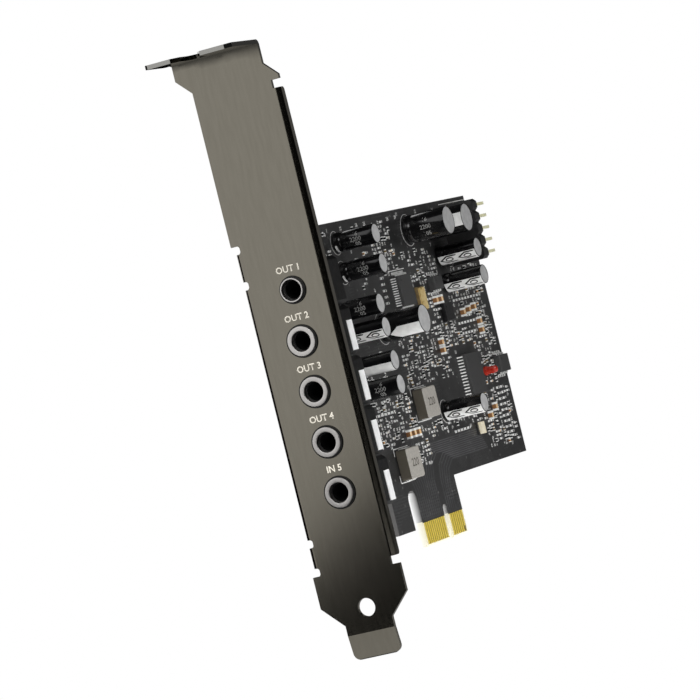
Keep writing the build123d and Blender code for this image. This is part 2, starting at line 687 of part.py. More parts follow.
# Chokes: a moulded square block between two wrapped terminals
for number, place in enumerate(CHOKES, start=1):
    with BuildPart() as choke:
        with BuildSketch(COMPONENT_FACE.offset(CHOKE_TERMINAL_SHEET)):
            with Locations(place):
                RectangleRounded(CHOKE_LENGTH, CHOKE_WIDTH, CHOKE_CORNER)
        extrude(amount=CHOKE_HEIGHT - CHOKE_TERMINAL_SHEET)
        chamfer(choke.faces().sort_by(Axis.Y)[0].edges(), CHIP_CHAMFER)
    save(choke.part, "choke_" + str(number))

with BuildPart() as choke_terminals:
    for x, height in CHOKES:
        for side in (-1, 1):
            wall = height + side * CHOKE_WIDTH / 2
            out = side * CHOKE_TERMINAL_SHEET
            reach = side * CHOKE_TERMINAL_REACH
            section = Plane(origin=on_board(x, 0), x_dir=(0, 0, 1), z_dir=(1, 0, 0))
            with BuildSketch(section):
                with BuildLine():
                    Polyline(
                        (wall + out, 0), (wall + out, CHOKE_TERMINAL_RISE),
                        (wall, CHOKE_TERMINAL_RISE), (wall, CHOKE_TERMINAL_SHEET),
                        (wall - reach, CHOKE_TERMINAL_SHEET), (wall - reach, 0),
                        close=True,
                    )
                make_face()
            extrude(amount=CHOKE_TERMINAL_WIDTH / 2, both=True)
save(choke_terminals.part, "choke_terminals")


def chip_body(place, length, width, height):
    """A moulded chip body with bevelled rims and the dot beside its first lead."""
    with BuildPart() as body:
        with BuildSketch(COMPONENT_FACE.offset(CHIP_STANDOFF)):
            with Locations(place):
                Rectangle(length, width)
        extrude(amount=height - CHIP_STANDOFF)
        chamfer(body.faces().sort_by(Axis.Y)[0].edges(), CHIP_CHAMFER)
        with BuildSketch(COMPONENT_FACE.offset(height)):
            dot_x = place[0] - length / 2 + DOT_INSET
            dot_height = place[1] + width / 2 - DOT_INSET
            with Locations((dot_x, dot_height)):
                Circle(PIN_ONE_DOT / 2)
        extrude(amount=-PIN_ONE_DEPTH, mode=Mode.SUBTRACT)
    return body.part


def chip_leads(place, sides, count, pitch, height, reach):
    """Gull-wing leads along the given sides of a chip, each side as (direction, half)."""
    shoulder = height / 2 + LEAD_SHEET / 2
    knee = reach * LEAD_KNEE
    with BuildPart() as leads:
        for direction, half in sides:
            outward = Vector(*direction)
            along = Vector(direction[2], 0, direction[0])
            middle = on_board(*place) + outward * half
            for i in range(count):
                start = middle + along * (pitch * (i - (count - 1) / 2))
                with BuildSketch(Plane(origin=start, x_dir=outward, z_dir=outward.cross(OUTWARD))):
                    with BuildLine():
                        Polyline(
                            (0, shoulder), (knee, shoulder), (knee + LEAD_SHEET, LEAD_SHEET),
                            (reach, LEAD_SHEET), (reach, 0), (knee, 0),
                            (knee - LEAD_SHEET, shoulder - LEAD_SHEET), (0, shoulder - LEAD_SHEET),
                            close=True,
                        )
                    make_face()
                extrude(amount=pitch * LEAD_SHARE / 2, both=True)
    return leads.part


save(chip_body(CODEC_PLACE, CODEC_SIDE, CODEC_SIDE, CODEC_HEIGHT), "codec_chip")
codec_sides = [(direction, CODEC_SIDE / 2) for direction in (RIGHT, LEFT, UPWARD, DOWNWARD)]
save(
    chip_leads(
        CODEC_PLACE, codec_sides, CODEC_LEADS_A_SIDE, CODEC_LEAD_PITCH, CODEC_HEIGHT, CODEC_LEAD_REACH
    ),
    "codec_leads",
)

save(
    chip_body(CONTROLLER_PLACE, CONTROLLER_LENGTH, CONTROLLER_WIDTH, CONTROLLER_HEIGHT),
    "controller_chip",
)
controller_sides = [(direction, CONTROLLER_LENGTH / 2) for direction in (RIGHT, LEFT)]
save(
    chip_leads(
        CONTROLLER_PLACE, controller_sides, CONTROLLER_LEADS_A_SIDE, CONTROLLER_LEAD_PITCH,
        CONTROLLER_HEIGHT, CONTROLLER_LEAD_REACH,
    ),
    "controller_leads",
)

for name, place, length, width in (
    ("amplifier", AMPLIFIER_PLACE, AMPLIFIER_LENGTH, AMPLIFIER_WIDTH),
    ("driver", DRIVER_PLACE, DRIVER_LENGTH, DRIVER_WIDTH),
):
    save(chip_body(place, length, width, EIGHT_LEAD_HEIGHT), name + "_chip")
    eight_lead_sides = [(direction, width / 2) for direction in (UPWARD, DOWNWARD)]
    save(
        chip_leads(
            place, eight_lead_sides, LEADS_A_SIDE, EIGHT_LEAD_PITCH, EIGHT_LEAD_HEIGHT,
            EIGHT_LEAD_REACH,
        ),
        name + "_leads",
    )

save(
    chip_body(POWER_CHIP_PLACE, POWER_CHIP_LENGTH, POWER_CHIP_WIDTH, POWER_CHIP_HEIGHT),
    "power_chip",
)

# Pin header: a tall block whose outer end is lobed, one lobe for each place
header_height = HEADER_PLACES * HEADER_PITCH
row_outs = [HEADER_TALL - HEADER_PITCH * (row + 0.5) for row in range(HEADER_ROWS)]
pin_places = [
    (HEADER_TOP - HEADER_PITCH * (place + 0.5), out)
    for place in range(HEADER_PLACES)
    for out in row_outs
]
header_end = Plane(
    origin=on_board(HEADER_START + HEADER_WIDTH, 0), x_dir=(0, 0, 1), z_dir=(1, 0, 0)
)
with BuildPart() as header_housing:
    with BuildSketch(header_end):
        with Locations((HEADER_TOP - header_height / 2, 0)):
            Rectangle(header_height, HEADER_TALL, align=(Align.CENTER, Align.MIN))
        # A vertical notch between neighbouring lobes, and half of one at each end
        for edge in range(HEADER_PLACES + 1):
            with Locations((HEADER_TOP - edge * HEADER_PITCH, HEADER_TALL)):
                Rectangle(HEADER_NOTCH * 2, HEADER_NOTCH * 2, rotation=45, mode=Mode.SUBTRACT)
    extrude(amount=-HEADER_WIDTH)
    with BuildSketch(header_end):
        for height, out in pin_places:
            with Locations((height, out)):
                Rectangle(PIN_SIDE + PIN_FIT, PIN_SIDE + PIN_FIT)
    extrude(amount=-PIN_ROOT, mode=Mode.SUBTRACT)
save(header_housing.part, "header_housing")

with BuildPart() as header_pins:
    with BuildSketch(header_end.offset(-PIN_ROOT)):
        for height, out in pin_places:
            with Locations((height, out)):
                Rectangle(PIN_SIDE, PIN_SIDE)
    extrude(amount=PIN_ROOT + PIN_LENGTH)
save(header_pins.part, "header_pins")

# Crystal: a ceramic tray under a metal lid
with BuildPart() as crystal_base:
    with BuildSketch(COMPONENT_FACE):
        with Locations(CRYSTAL_PLACE):
            Rectangle(CRYSTAL_LENGTH, CRYSTAL_WIDTH)
    extrude(amount=CRYSTAL_BASE)
save(crystal_base.part, "crystal_base")

with BuildPart() as crystal_lid:
    with BuildSketch(COMPONENT_FACE.offset(CRYSTAL_BASE)):
        with Locations(CRYSTAL_PLACE):
            RectangleRounded(
                CRYSTAL_LENGTH - 2 * CRYSTAL_MARGIN, CRYSTAL_WIDTH - 2 * CRYSTAL_MARGIN,
                CRYSTAL_MARGIN,
            )
    extrude(amount=CRYSTAL_LID)
save(crystal_lid.part, "crystal_lid")

with BuildPart() as oscillator:
    with BuildSketch(COMPONENT_FACE):
        with Locations(OSCILLATOR_PLACE):
            Rectangle(OSCILLATOR_LENGTH, OSCILLATOR_WIDTH)
    extrude(amount=OSCILLATOR_HEIGHT)
    chamfer(oscillator.faces().sort_by(Axis.Y)[0].edges(), CHIP_CHAMFER)
save(oscillator.part, "oscillator")

# Indicator lamp: a short collar and a domed lens
with BuildPart() as indicator_lamp:
    lamp_radius = LAMP_DIAMETER / 2
    with BuildSketch(standing_plane(*LAMP_PLACE)):
        with BuildLine():
            foot = Polyline(
                (0, 0), (LAMP_FLANGE / 2, 0), (LAMP_FLANGE / 2, LAMP_FLANGE_HEIGHT),
                (lamp_radius, LAMP_FLANGE_HEIGHT), (lamp_radius, LAMP_HEIGHT - lamp_radius),
            )
            dome = RadiusArc(foot @ 1, (0, LAMP_HEIGHT), -lamp_radius)
            Line(dome @ 1, foot @ 0)
        make_face()
    revolve(axis=Axis(on_board(*LAMP_PLACE), OUTWARD))
save(indicator_lamp.part, "indicator_lamp")


def chip_rows(rows, size):
    """Small chips lying on the board in straight rows, as one node of separate solids."""
    with BuildPart() as chips:
        with BuildSketch(COMPONENT_FACE):
            for x, height, step_x, step_up, count in rows:
                for i in range(count):
                    with Locations((x + i * step_x, height + i * step_up)):
                        Rectangle(size[0], size[1])
        extrude(amount=size[2])
    return chips.part


save(chip_rows(CHIP_CAPACITOR_ROWS, CHIP_CAPACITOR_SIZE), "chip_capacitors")
save(chip_rows(CHIP_RESISTOR_ROWS, CHIP_RESISTOR_SIZE), "chip_resistors")
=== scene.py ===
# %% [markdown]
# # A sound card, dressed over its solid model
# The solid model already has every piece at its real size: the folded bracket, the
# board, the jacks, the chips and the standing cans. This lesson gives those pieces
# their finishes, and adds what is too fine for the solids: the prints, the solder, the
# small chips with their bright ends, and the cans as their maker builds them. All
# sizes are worked out in millimetres and written to the scene in metres.

import json
import math
import random

import bmesh
import bpy
from mathutils import Matrix, Vector


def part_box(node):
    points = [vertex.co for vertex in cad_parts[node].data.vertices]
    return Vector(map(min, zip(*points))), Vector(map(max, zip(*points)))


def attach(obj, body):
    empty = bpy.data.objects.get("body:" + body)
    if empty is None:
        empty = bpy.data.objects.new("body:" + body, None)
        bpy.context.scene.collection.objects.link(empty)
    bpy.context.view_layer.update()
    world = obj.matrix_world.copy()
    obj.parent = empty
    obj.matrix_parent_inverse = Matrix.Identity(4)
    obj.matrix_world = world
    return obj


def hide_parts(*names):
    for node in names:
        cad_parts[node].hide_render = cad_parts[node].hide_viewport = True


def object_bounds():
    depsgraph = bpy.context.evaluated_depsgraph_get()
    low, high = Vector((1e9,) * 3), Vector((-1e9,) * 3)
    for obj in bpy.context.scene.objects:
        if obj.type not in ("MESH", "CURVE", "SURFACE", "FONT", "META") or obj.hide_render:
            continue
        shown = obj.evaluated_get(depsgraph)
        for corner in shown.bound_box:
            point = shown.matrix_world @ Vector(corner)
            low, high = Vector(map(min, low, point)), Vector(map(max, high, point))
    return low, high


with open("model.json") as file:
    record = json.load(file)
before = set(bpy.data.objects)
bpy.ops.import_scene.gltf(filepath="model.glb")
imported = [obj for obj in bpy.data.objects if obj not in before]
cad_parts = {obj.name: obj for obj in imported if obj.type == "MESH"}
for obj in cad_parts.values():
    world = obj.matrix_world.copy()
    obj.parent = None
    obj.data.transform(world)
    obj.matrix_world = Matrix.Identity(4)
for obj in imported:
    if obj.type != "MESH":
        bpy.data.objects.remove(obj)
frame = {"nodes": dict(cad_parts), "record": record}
solid_low, solid_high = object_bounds()
nodes = frame["nodes"]
board_low, board_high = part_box("circuit_board")
MM = 0.001
FACE_Y = board_low.y
PLUG_Z = board_low.z
OUT = Vector((0, -1, 0))
print("nodes:", len(nodes), "board from", tuple(board_low), "to", tuple(board_high))

# %% [markdown]
# ## Small helpers
# Every new piece starts from one of Blender's primitives. A helper adds it, gives it
# its size, and writes both into the mesh, so that the finished object sits unturned at
# the origin as the solids do. Places on the board are given as on a drawing of it: the
# distance from the bracket, the height above the plug's lower edge, and the distance
# out from the component face.


# %% Places, blocks and rods
def deselect():
    bpy.ops.object.select_all(action="DESELECT")


def on_board(x, height, out=0.0):
    return Vector((x * MM, FACE_Y - out * MM, PLUG_Z + height * MM))


def settle(name):
    """Writes the new primitive's place and size into its mesh, and names it."""
    bpy.ops.object.transform_apply(location=True, rotation=True, scale=True)
    piece = bpy.context.object
    piece.name = name
    return piece


def block(name, low, high):
    deselect()
    low, high = Vector(low), Vector(high)
    bpy.ops.mesh.primitive_cube_add(size=1, location=(low + high) / 2)
    bpy.context.object.scale = high - low
    return settle(name)


def rod(name, base, direction, radius, length, sides=32):
    deselect()
    direction = Vector(direction)
    turn = direction.to_track_quat("Z", "Y").to_euler()
    middle = Vector(base) + direction * length / 2
    bpy.ops.mesh.primitive_cylinder_add(
        vertices=sides, radius=radius, depth=length, location=middle, rotation=turn
    )
    return settle(name)


test_block = block("test_block", (0, 0, 0), (MM, MM, MM))
print("helper block spans", tuple(test_block.dimensions))
bpy.data.objects.remove(test_block)

# %% [markdown]
# Faces and edges are picked in code, by where they are or which way they look. The
# test gets the middle and the normal of a face, or the middle and the direction of an
# edge, and what passes is selected in edit mode, ready for an operator.


# %% Picking, smoothing, copying and joining
def edit(piece, kind="FACE"):
    """Opens a piece in edit mode with nothing selected."""
    deselect()
    piece.select_set(True)
    bpy.context.view_layer.objects.active = piece
    bpy.ops.object.mode_set(mode="EDIT")
    bpy.ops.mesh.select_mode(type=kind)
    bpy.ops.mesh.select_all(action="DESELECT")


def pick_faces(piece, test):
    edit(piece)
    mesh = bmesh.from_edit_mesh(piece.data)
    for face in mesh.faces:
        if test(face.calc_center_median(), face.normal):
            face.select_set(True)
    bmesh.update_edit_mesh(piece.data)


def pick_edges(piece, test):
    edit(piece, "EDGE")
    mesh = bmesh.from_edit_mesh(piece.data)
    for edge in mesh.edges:
        start, end = edge.verts[0].co, edge.verts[1].co
        if test((start + end) / 2, (end - start).normalized()):
            edge.select_set(True)
    bmesh.update_edit_mesh(piece.data)


def leave_edit():
    bpy.ops.object.mode_set(mode="OBJECT")


def smooth(piece, degrees=35):
    deselect()
    piece.select_set(True)
    bpy.context.view_layer.objects.active = piece
    bpy.ops.object.shade_smooth_by_angle(angle=math.radians(degrees))


def twin(piece, name, move):
    """A copy with its own mesh, moved by a matrix."""
    made = piece.copy()
    made.data = piece.data.copy()
    made.data.transform(move)
    made.name = name
    bpy.context.collection.objects.link(made)
    return made


def join(pieces, name):
    deselect()
    for piece in pieces:
        piece.select_set(True)
    bpy.context.view_layer.objects.active = pieces[0]
    if len(pieces) > 1:
        bpy.ops.object.join()
    pieces[0].name = name
    return pieces[0]


def spread(pattern, moves, name):
    """One pattern copied to many places, and joined as one piece."""
    made = [twin(pattern, name + "_copy", move) for move in moves]
    bpy.data.objects.remove(pattern)
    return join(made, name)


def done(piece, slot, *replaced):
    """A finished piece rides with the card, and may stand for solid nodes."""
    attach(piece, "root")
    if replaced:
        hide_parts(*replaced)
    print(piece.name, "has", len(piece.data.polygons), "faces")
    return piece


# %% [markdown]
# ## Finishes
# Hardly any factory surface is one flat colour. Moulded plastic has a fine grain, plate
# has a soft haze, and both change how sharply they reflect from one spot to the next.
# One node group makes that grain from noise on the object's own coordinates, and each
# material places it with its own size and its own range of roughness.


# %% [markdown]
# Node trees grow long when each link is written out. So a few helpers come first: one
# turns a screen colour into Blender's own, one feeds a socket with a value or a link, and
# three add the nodes that nearly every finish needs. They blend two colours, do one step
# of maths, and split a place into X, Y and Z.


# %% Small helpers for nodes
def tone(red, green, blue):
    """A colour picked as screen values from 0 to 255, as Blender wants it."""
    screen = (v / 255 for v in (red, green, blue))
    straight = [v / 12.92 if v <= 0.04045 else ((v + 0.055) / 1.055) ** 2.4 for v in screen]
    return (*straight, 1.0)


def feed(link, value, socket):
    """A plain value is written into a socket, and another node's output is linked to it."""
    if isinstance(value, (int, float, tuple)):
        socket.default_value = value
    else:
        link.new(value, socket)


def blend(tree, link, factor, first, second):
    """The first colour where the factor is 0, and the second where it is 1."""
    mix = tree.new("ShaderNodeMix")
    mix.data_type = "RGBA"
    for value, name in ((factor, "Factor"), (first, "A"), (second, "B")):
        feed(link, value, mix.inputs[name])
    return mix.outputs["Result"]


def maths(tree, link, operation, first, second=None, clamp=False):
    node = tree.new("ShaderNodeMath")
    node.operation = operation
    node.use_clamp = clamp
    for slot, value in enumerate((first, second)):
        if value is not None:
            feed(link, value, node.inputs[slot])
    return node.outputs[0]


def coordinates(tree, link, kind="Object"):
    """A point's place, or with "Normal" the way its surface looks: whole, and as X, Y and Z."""
    source = tree.new("ShaderNodeTexCoord").outputs[kind]
    split = tree.new("ShaderNodeSeparateXYZ")
    link.new(source, split.inputs[0])
    return source, split.outputs


print("screen grey 128 is", round(tone(128, 128, 128)[0], 3), "in Blender's colours")


# %% The shared grain group
def make_grain_group():
    group = bpy.data.node_groups.new("fine_grain", "ShaderNodeTree")
    face = group.interface
    for name, value in (("Size", 900.0), ("Smoothest", 0.3), ("Roughest", 0.5), ("Stretch", 1.0)):
        face.new_socket(name=name, in_out="INPUT", socket_type="NodeSocketFloat").default_value = value
    for name in ("Mask", "Roughness", "Height"):
        face.new_socket(name=name, in_out="OUTPUT", socket_type="NodeSocketFloat")
    tree, link = group.nodes, group.links
    given, result = tree.new("NodeGroupInput"), tree.new("NodeGroupOutput")
    axes = coordinates(tree, link)[1]
    stretched = maths(tree, link, "MULTIPLY", axes["Z"], given.outputs["Stretch"])
    merge = tree.new("ShaderNodeCombineXYZ")
    for value, axis in ((axes["X"], "X"), (axes["Y"], "Y"), (stretched, "Z")):
        link.new(value, merge.inputs[axis])
    noise = tree.new("ShaderNodeTexNoise")
    noise.inputs["Detail"].default_value = 4.0
    link.new(merge.outputs[0], noise.inputs["Vector"])
    link.new(given.outputs["Size"], noise.inputs["Scale"])
    spans = {}
    for name, low, high in (("Roughness", 0.3, 0.7), ("Mask", 0.35, 0.65)):
        spans[name] = tree.new("ShaderNodeMapRange")
        spans[name].inputs["From Min"].default_value = low
        spans[name].inputs["From Max"].default_value = high
        link.new(noise.outputs[0], spans[name].inputs["Value"])
        link.new(spans[name].outputs[0], result.inputs[name])
    link.new(given.outputs["Smoothest"], spans["Roughness"].inputs["To Min"])
    link.new(given.outputs["Roughest"], spans["Roughness"].inputs["To Max"])
    link.new(noise.outputs[0], result.inputs["Height"])
    return group


grain_group = make_grain_group()
print("group", grain_group.name, "has", len(grain_group.nodes), "nodes")


# %% Materials from two tones and a grain
GRAIN_DEPTH = 0.05 * MM


def new_material(name):
    material = bpy.data.materials.new(name)
    material.use_nodes = True
    tree = material.node_tree
    return material, tree.nodes, tree.links, tree.nodes["Principled BSDF"]


def add_bump(tree, link, shader, height, strength, distance):
    relief = tree.new("ShaderNodeBump")
    relief.inputs["Strength"].default_value = strength
    relief.inputs["Distance"].default_value = distance
    link.new(height, relief.inputs["Height"])
    link.new(relief.outputs[0], shader.inputs["Normal"])


def add_grain(tree, link, shader, size, rough, bump, stretch=1.0):
    """Places the grain group, and drives roughness and a fine bump by it."""
    grain = tree.new("ShaderNodeGroup")
    grain.node_tree = grain_group
    given = {"Size": size, "Smoothest": rough[0], "Roughest": rough[1], "Stretch": stretch}
    for name, value in given.items():
        grain.inputs[name].default_value = value
    link.new(grain.outputs["Roughness"], shader.inputs["Roughness"])
    if bump:
        add_bump(tree, link, shader, grain.outputs["Height"], bump, GRAIN_DEPTH)
    return grain


def grained(name, dark, light, rough, size=900.0, bump=0.15, metal=0.0, coat=0.0):
    material, tree, link, shader = new_material(name)
    grain = add_grain(tree, link, shader, size, rough, bump)
    colour = blend(tree, link, grain.outputs["Mask"], tone(*dark), tone(*light))
    link.new(colour, shader.inputs["Base Color"])
    shader.inputs["Metallic"].default_value = metal
    shader.inputs["Coat Weight"].default_value = coat
    return material


# Each finish as (darker tone, lighter tone, (smoothest, roughest), what else differs)
FINISHES = {
    "gold_plating": ((228, 202, 74), (238, 214, 94), (0.3, 0.4), {"bump": 0.0, "metal": 0.3}),
    "pin_plating": ((250, 248, 200), (255, 254, 222), (0.3, 0.45), {}),
    "screw_steel": ((120, 120, 118), (160, 160, 156), (0.25, 0.42), {"metal": 1.0}),
    "header_plastic": ((34, 34, 34), (44, 44, 44), (0.4, 0.55), {}),
    "ceramic_tray": ((110, 92, 60), (140, 120, 84), (0.45, 0.6), {}),
    "brass_lid": ((226, 192, 118), (246, 222, 160), (0.25, 0.4), {"metal": 0.4}),
    "pale_ceramic": ((240, 228, 196), (252, 244, 220), (0.4, 0.55), {}),
    "red_lens": ((160, 28, 18), (206, 66, 48), (0.12, 0.2), {"bump": 0.0, "coat": 0.6}),
    "tan_ceramic": ((222, 174, 118), (248, 216, 168), (0.4, 0.6), {"size": 1400.0}),
    "chip_black": ((58, 58, 58), (70, 70, 70), (0.5, 0.68), {"size": 2600.0}),
    "chip_shiny": ((16, 16, 17), (24, 24, 25), (0.3, 0.45), {"size": 2600.0}),
    "chip_end": ((252, 252, 250), (255, 255, 253), (0.3, 0.45), {}),
    "tin_plating": ((238, 238, 236), (252, 252, 250), (0.22, 0.4), {"metal": 0.1}),
    "jack_plastic": ((8, 8, 8), (14, 14, 14), (0.45, 0.6), {}),
    "ring_nickel": ((206, 203, 200), (218, 215, 212), (0.3, 0.4), {"bump": 0.0, "metal": 1.0}),
    "pale_plastic": ((240, 240, 240), (252, 252, 252), (0.35, 0.5), {}),
    "choke_block": ((158, 154, 148), (178, 174, 166), (0.5, 0.7), {"size": 2200.0}),
    "can_metal": ((196, 196, 196), (214, 214, 214), (0.4, 0.55), {"metal": 0.3}),
    "rubber_foot": ((18, 18, 18), (28, 28, 28), (0.6, 0.75), {}),
    "can_sleeve": ((10, 10, 11), (16, 16, 17), (0.16, 0.26), {"bump": 0.05, "coat": 0.5}),
    "white_print": ((236, 236, 234), (252, 252, 250), (0.5, 0.65), {}),
    "grey_print": ((132, 132, 130), (152, 152, 150), (0.5, 0.65), {}),
    "stripe_print": ((226, 226, 224), (240, 240, 238), (0.3, 0.42), {}),
    "black_print": ((10, 10, 10), (18, 18, 18), (0.3, 0.42), {}),
    "cream_print": ((228, 222, 208), (244, 238, 224), (0.5, 0.65), {}),
    "solder": ((190, 190, 188), (232, 232, 230), (0.25, 0.45), {"metal": 0.55}),
    "track_mask": ((72, 72, 74), (88, 88, 90), (0.28, 0.4), {"size": 500.0}),
    "choke_stamp": ((70, 66, 60), (82, 78, 70), (0.5, 0.7), {"size": 2200.0}),
}
finish = {}
for name, (dark, light, rough, more) in FINISHES.items():
    finish[name] = grained(name, dark, light, rough, **more)
print("plain finishes:", len(finish))

# %% [markdown]
# ## The bracket's plate
# The bracket is thin steel with a dark nickel plate. The plate reflects like metal but
# its light is soft, and rolled sheet keeps very fine lines along its length. So the
# grain is stretched along Z, and the plate stays fully metallic: the light itself makes
# the long fade from grey to black.

# %% Dark nickel
END_SHEET = 0.03 * MM
# Widths of the two corners of the tab's end that are painted dark as painted shade; the end between them
# gets a painted highlight
END_SHADED_CORNERS = (1.7 * MM, 0.4 * MM)
# The painted shade under the tab's fold: its depth, its least reach, its lean across the plate, and its
# share
FOLD_SHADE_DEPTH, FOLD_SHADE_LEAST, FOLD_SHADE_LEAN = 2.2 * MM, 0.6 * MM, -0.09
FOLD_SHADE_SHARE = 0.75


def sheared_end():
    """The part of the tab's end that is flat, between its two corners of painted shade."""
    mesh = nodes["bracket"].data
    across = [v.co.y for v in mesh.vertices if v.co.x < solid_low.x + END_SHEET]
    print("the tab's end spans", min(across), "to", max(across))
    return min(across) + END_SHADED_CORNERS[0], max(across) - END_SHADED_CORNERS[1]


def make_bracket_plating():
    material, tree, link, shader = new_material("bracket_plating")
    grain = add_grain(tree, link, shader, 1500.0, (0.15, 0.165), 0.01, stretch=0.12)
    plate = blend(tree, link, grain.outputs["Mask"], tone(119, 115, 105), tone(123, 119, 109))
    place, axes = coordinates(tree, link)
    across, up = axes["Y"], axes["Z"]
    # Painted shade: darker clouds under the fold stand in for the tab's dark reflection there, most of all
    # at one end
    fold_shade_noise = tree.new("ShaderNodeTexNoise")
    fold_shade_noise.inputs["Scale"].default_value = 260.0
    link.new(place, fold_shade_noise.inputs["Vector"])
    reach = maths(tree, link, "MULTIPLY", fold_shade_noise.outputs[0], FOLD_SHADE_DEPTH)
    reach = maths(tree, link, "ADD", reach, FOLD_SHADE_LEAST)
    reach = maths(tree, link, "ADD", reach, maths(tree, link, "MULTIPLY", across, FOLD_SHADE_LEAN))
    depth = maths(tree, link, "DIVIDE", maths(tree, link, "ADD", up, reach), reach, clamp=True)
    fold_shade = maths(tree, link, "MULTIPLY", depth, FOLD_SHADE_SHARE)
    plate = blend(tree, link, fold_shade, plate, tone(52, 51, 48))
    # The tab's sheared end is painted paler metal, a painted highlight, between its two corners, which are
    # painted dark as painted shade
    end_low, end_high = sheared_end()
    sheared = maths(tree, link, "LESS_THAN", axes["X"], solid_low.x + END_SHEET)
    middle = maths(tree, link, "ABSOLUTE", maths(tree, link, "SUBTRACT", across, (end_low + end_high) / 2))
    inner = maths(tree, link, "LESS_THAN", middle, (end_high - end_low) / 2)
    end = blend(tree, link, inner, tone(20, 20, 19), tone(150, 149, 145))
    link.new(blend(tree, link, sheared, plate, end), shader.inputs["Base Color"])
    shader.inputs["Metallic"].default_value = 1.0
    return material


finish["bracket_plating"] = make_bracket_plating()
print("bracket finish ready")

# %% [markdown]
# ## The board's face
# A board is woven glass and resin with copper tracks under a coat of solder mask, here
# a black one. Tracks show through the mask as slightly raised, slightly lighter lines,
# and each via as a small dot. The cut edges are grey. On the plug the laminate is bare
# and cream, and looks olive between the contacts. All of that follows from the place
# on the board: lines from the fraction of X and Z, vias from a cell
# pattern, and the cut edges from the direction that the face looks.


# %% Solder mask with tracks, vias and bare laminate
TRACK_PITCH, TRACK_SHARE = 0.62 * MM, 0.42
KEY_MIDDLE, KEY_BARE = 59.05 * MM, 3.2 * MM
PLUG_MARGIN, WALL_ABOVE_CONTACTS = 1.2 * MM, 0.2 * MM


def stripes(tree, link, along):
    """1 on lines of the tracks' pitch, 0 between them."""
    turns = maths(tree, link, "MULTIPLY", along, 1 / TRACK_PITCH)
    return maths(tree, link, "LESS_THAN", maths(tree, link, "FRACT", turns), TRACK_SHARE)


def noise_over(tree, link, place, scale, limit):
    noise = tree.new("ShaderNodeTexNoise")
    noise.inputs["Scale"].default_value = scale
    noise.inputs["Detail"].default_value = 1.0
    link.new(place, noise.inputs["Vector"])
    return maths(tree, link, "GREATER_THAN", noise.outputs[0], limit)


def make_solder_mask():
    material, tree, link, shader = new_material("solder_mask")
    grain = add_grain(tree, link, shader, 500.0, (0.3, 0.42), 0.0)
    place, axes = coordinates(tree, link)
    across, up = axes["X"], axes["Z"]
    # Tracks run up in some places, and across in others
    runs = []
    for along, scale, limit in ((across, 95.0, 0.56), (up, 120.0, 0.57)):
        zone = noise_over(tree, link, place, scale, limit)
        runs.append(maths(tree, link, "MULTIPLY", stripes(tree, link, along), zone))
    tracks = maths(tree, link, "MAXIMUM", *runs)
    cells = tree.new("ShaderNodeTexVoronoi")
    cells.inputs["Scale"].default_value = 520.0
    link.new(place, cells.inputs["Vector"])
    vias = maths(tree, link, "LESS_THAN", cells.outputs["Distance"], 0.13)
    mask = blend(tree, link, grain.outputs["Mask"], tone(37, 37, 37), tone(43, 43, 43))
    mask = blend(tree, link, maths(tree, link, "MULTIPLY", tracks, 0.35), mask, tone(74, 74, 74))
    mask = blend(tree, link, maths(tree, link, "MULTIPLY", vias, 0.55), mask, tone(120, 120, 118))
    # Cut edges are grey, and turn pale towards the back on the plug's side
    looks = coordinates(tree, link, "Normal")[1]
    edge = maths(tree, link, "LESS_THAN", maths(tree, link, "ABSOLUTE", looks["Y"]), 0.8)
    depth = maths(tree, link, "SUBTRACT", axes["Y"], board_low.y)
    back = maths(tree, link, "DIVIDE", depth, board_high.y - board_low.y, clamp=True)
    contact_low, contact_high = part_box("edge_contacts")
    by_plug = maths(tree, link, "GREATER_THAN", across, contact_low.x - PLUG_MARGIN)
    pale = maths(tree, link, "MULTIPLY", by_plug, back)
    cut = blend(tree, link, pale, tone(96, 95, 94), tone(250, 250, 250))
    coated = blend(tree, link, edge, mask, cut)
    # The plug is bare up to its contacts' tops, and its edges a little higher
    plug = maths(tree, link, "MULTIPLY", maths(tree, link, "LESS_THAN", up, contact_high.z), by_plug)
    near = maths(tree, link, "LESS_THAN", up, contact_high.z + WALL_ABOVE_CONTACTS)
    walls = maths(tree, link, "MULTIPLY", edge, maths(tree, link, "MULTIPLY", near, by_plug))
    bare = maths(tree, link, "MAXIMUM", walls, plug)
    laminate = blend(tree, link, back, tone(238, 232, 204), tone(255, 255, 250))
    # Between the contacts of each group the laminate looks olive
    beside_key = maths(tree, link, "ABSOLUTE", maths(tree, link, "SUBTRACT", across, KEY_MIDDLE))
    inside = maths(tree, link, "GREATER_THAN", beside_key, KEY_BARE / 2)
    for test, value, side in (
        ("GREATER_THAN", contact_low.x, across), ("LESS_THAN", contact_high.x, across),
        ("GREATER_THAN", contact_low.z, up), ("LESS_THAN", contact_high.z, up),
    ):
        inside = maths(tree, link, "MULTIPLY", inside, maths(tree, link, test, side, value))
    laminate = blend(tree, link, inside, laminate, tone(122, 106, 40))
    link.new(blend(tree, link, bare, coated, laminate), shader.inputs["Base Color"])
    add_bump(tree, link, shader, maths(tree, link, "MAXIMUM", tracks, vias), 0.35, 0.03 * MM)
    return material


finish["solder_mask"] = make_solder_mask()
print("board finish has", len(finish["solder_mask"].node_tree.nodes), "nodes")


# %% [markdown]
# The chokes and the tan chips get painted shade on their sides: they are pale on top and
# darker on their sides. The normal tells the two apart: whatever doesn't look out of the
# board's face counts as a side, and its colour is blended over the one that the material already has.


# %% Painted shade on the sides of moulded blocks
def darken_sides(material, side):
    """Gives all faces but the top one a darker colour, as painted shade."""
    tree, link = material.node_tree.nodes, material.node_tree.links
    colour = tree["Principled BSDF"].inputs["Base Color"]
    looks = coordinates(tree, link, "Normal")[1]
    shaded_side = maths(tree, link, "GREATER_THAN", looks["Y"], -0.7)
    link.new(blend(tree, link, shaded_side, colour.links[0].from_socket, side), colour)


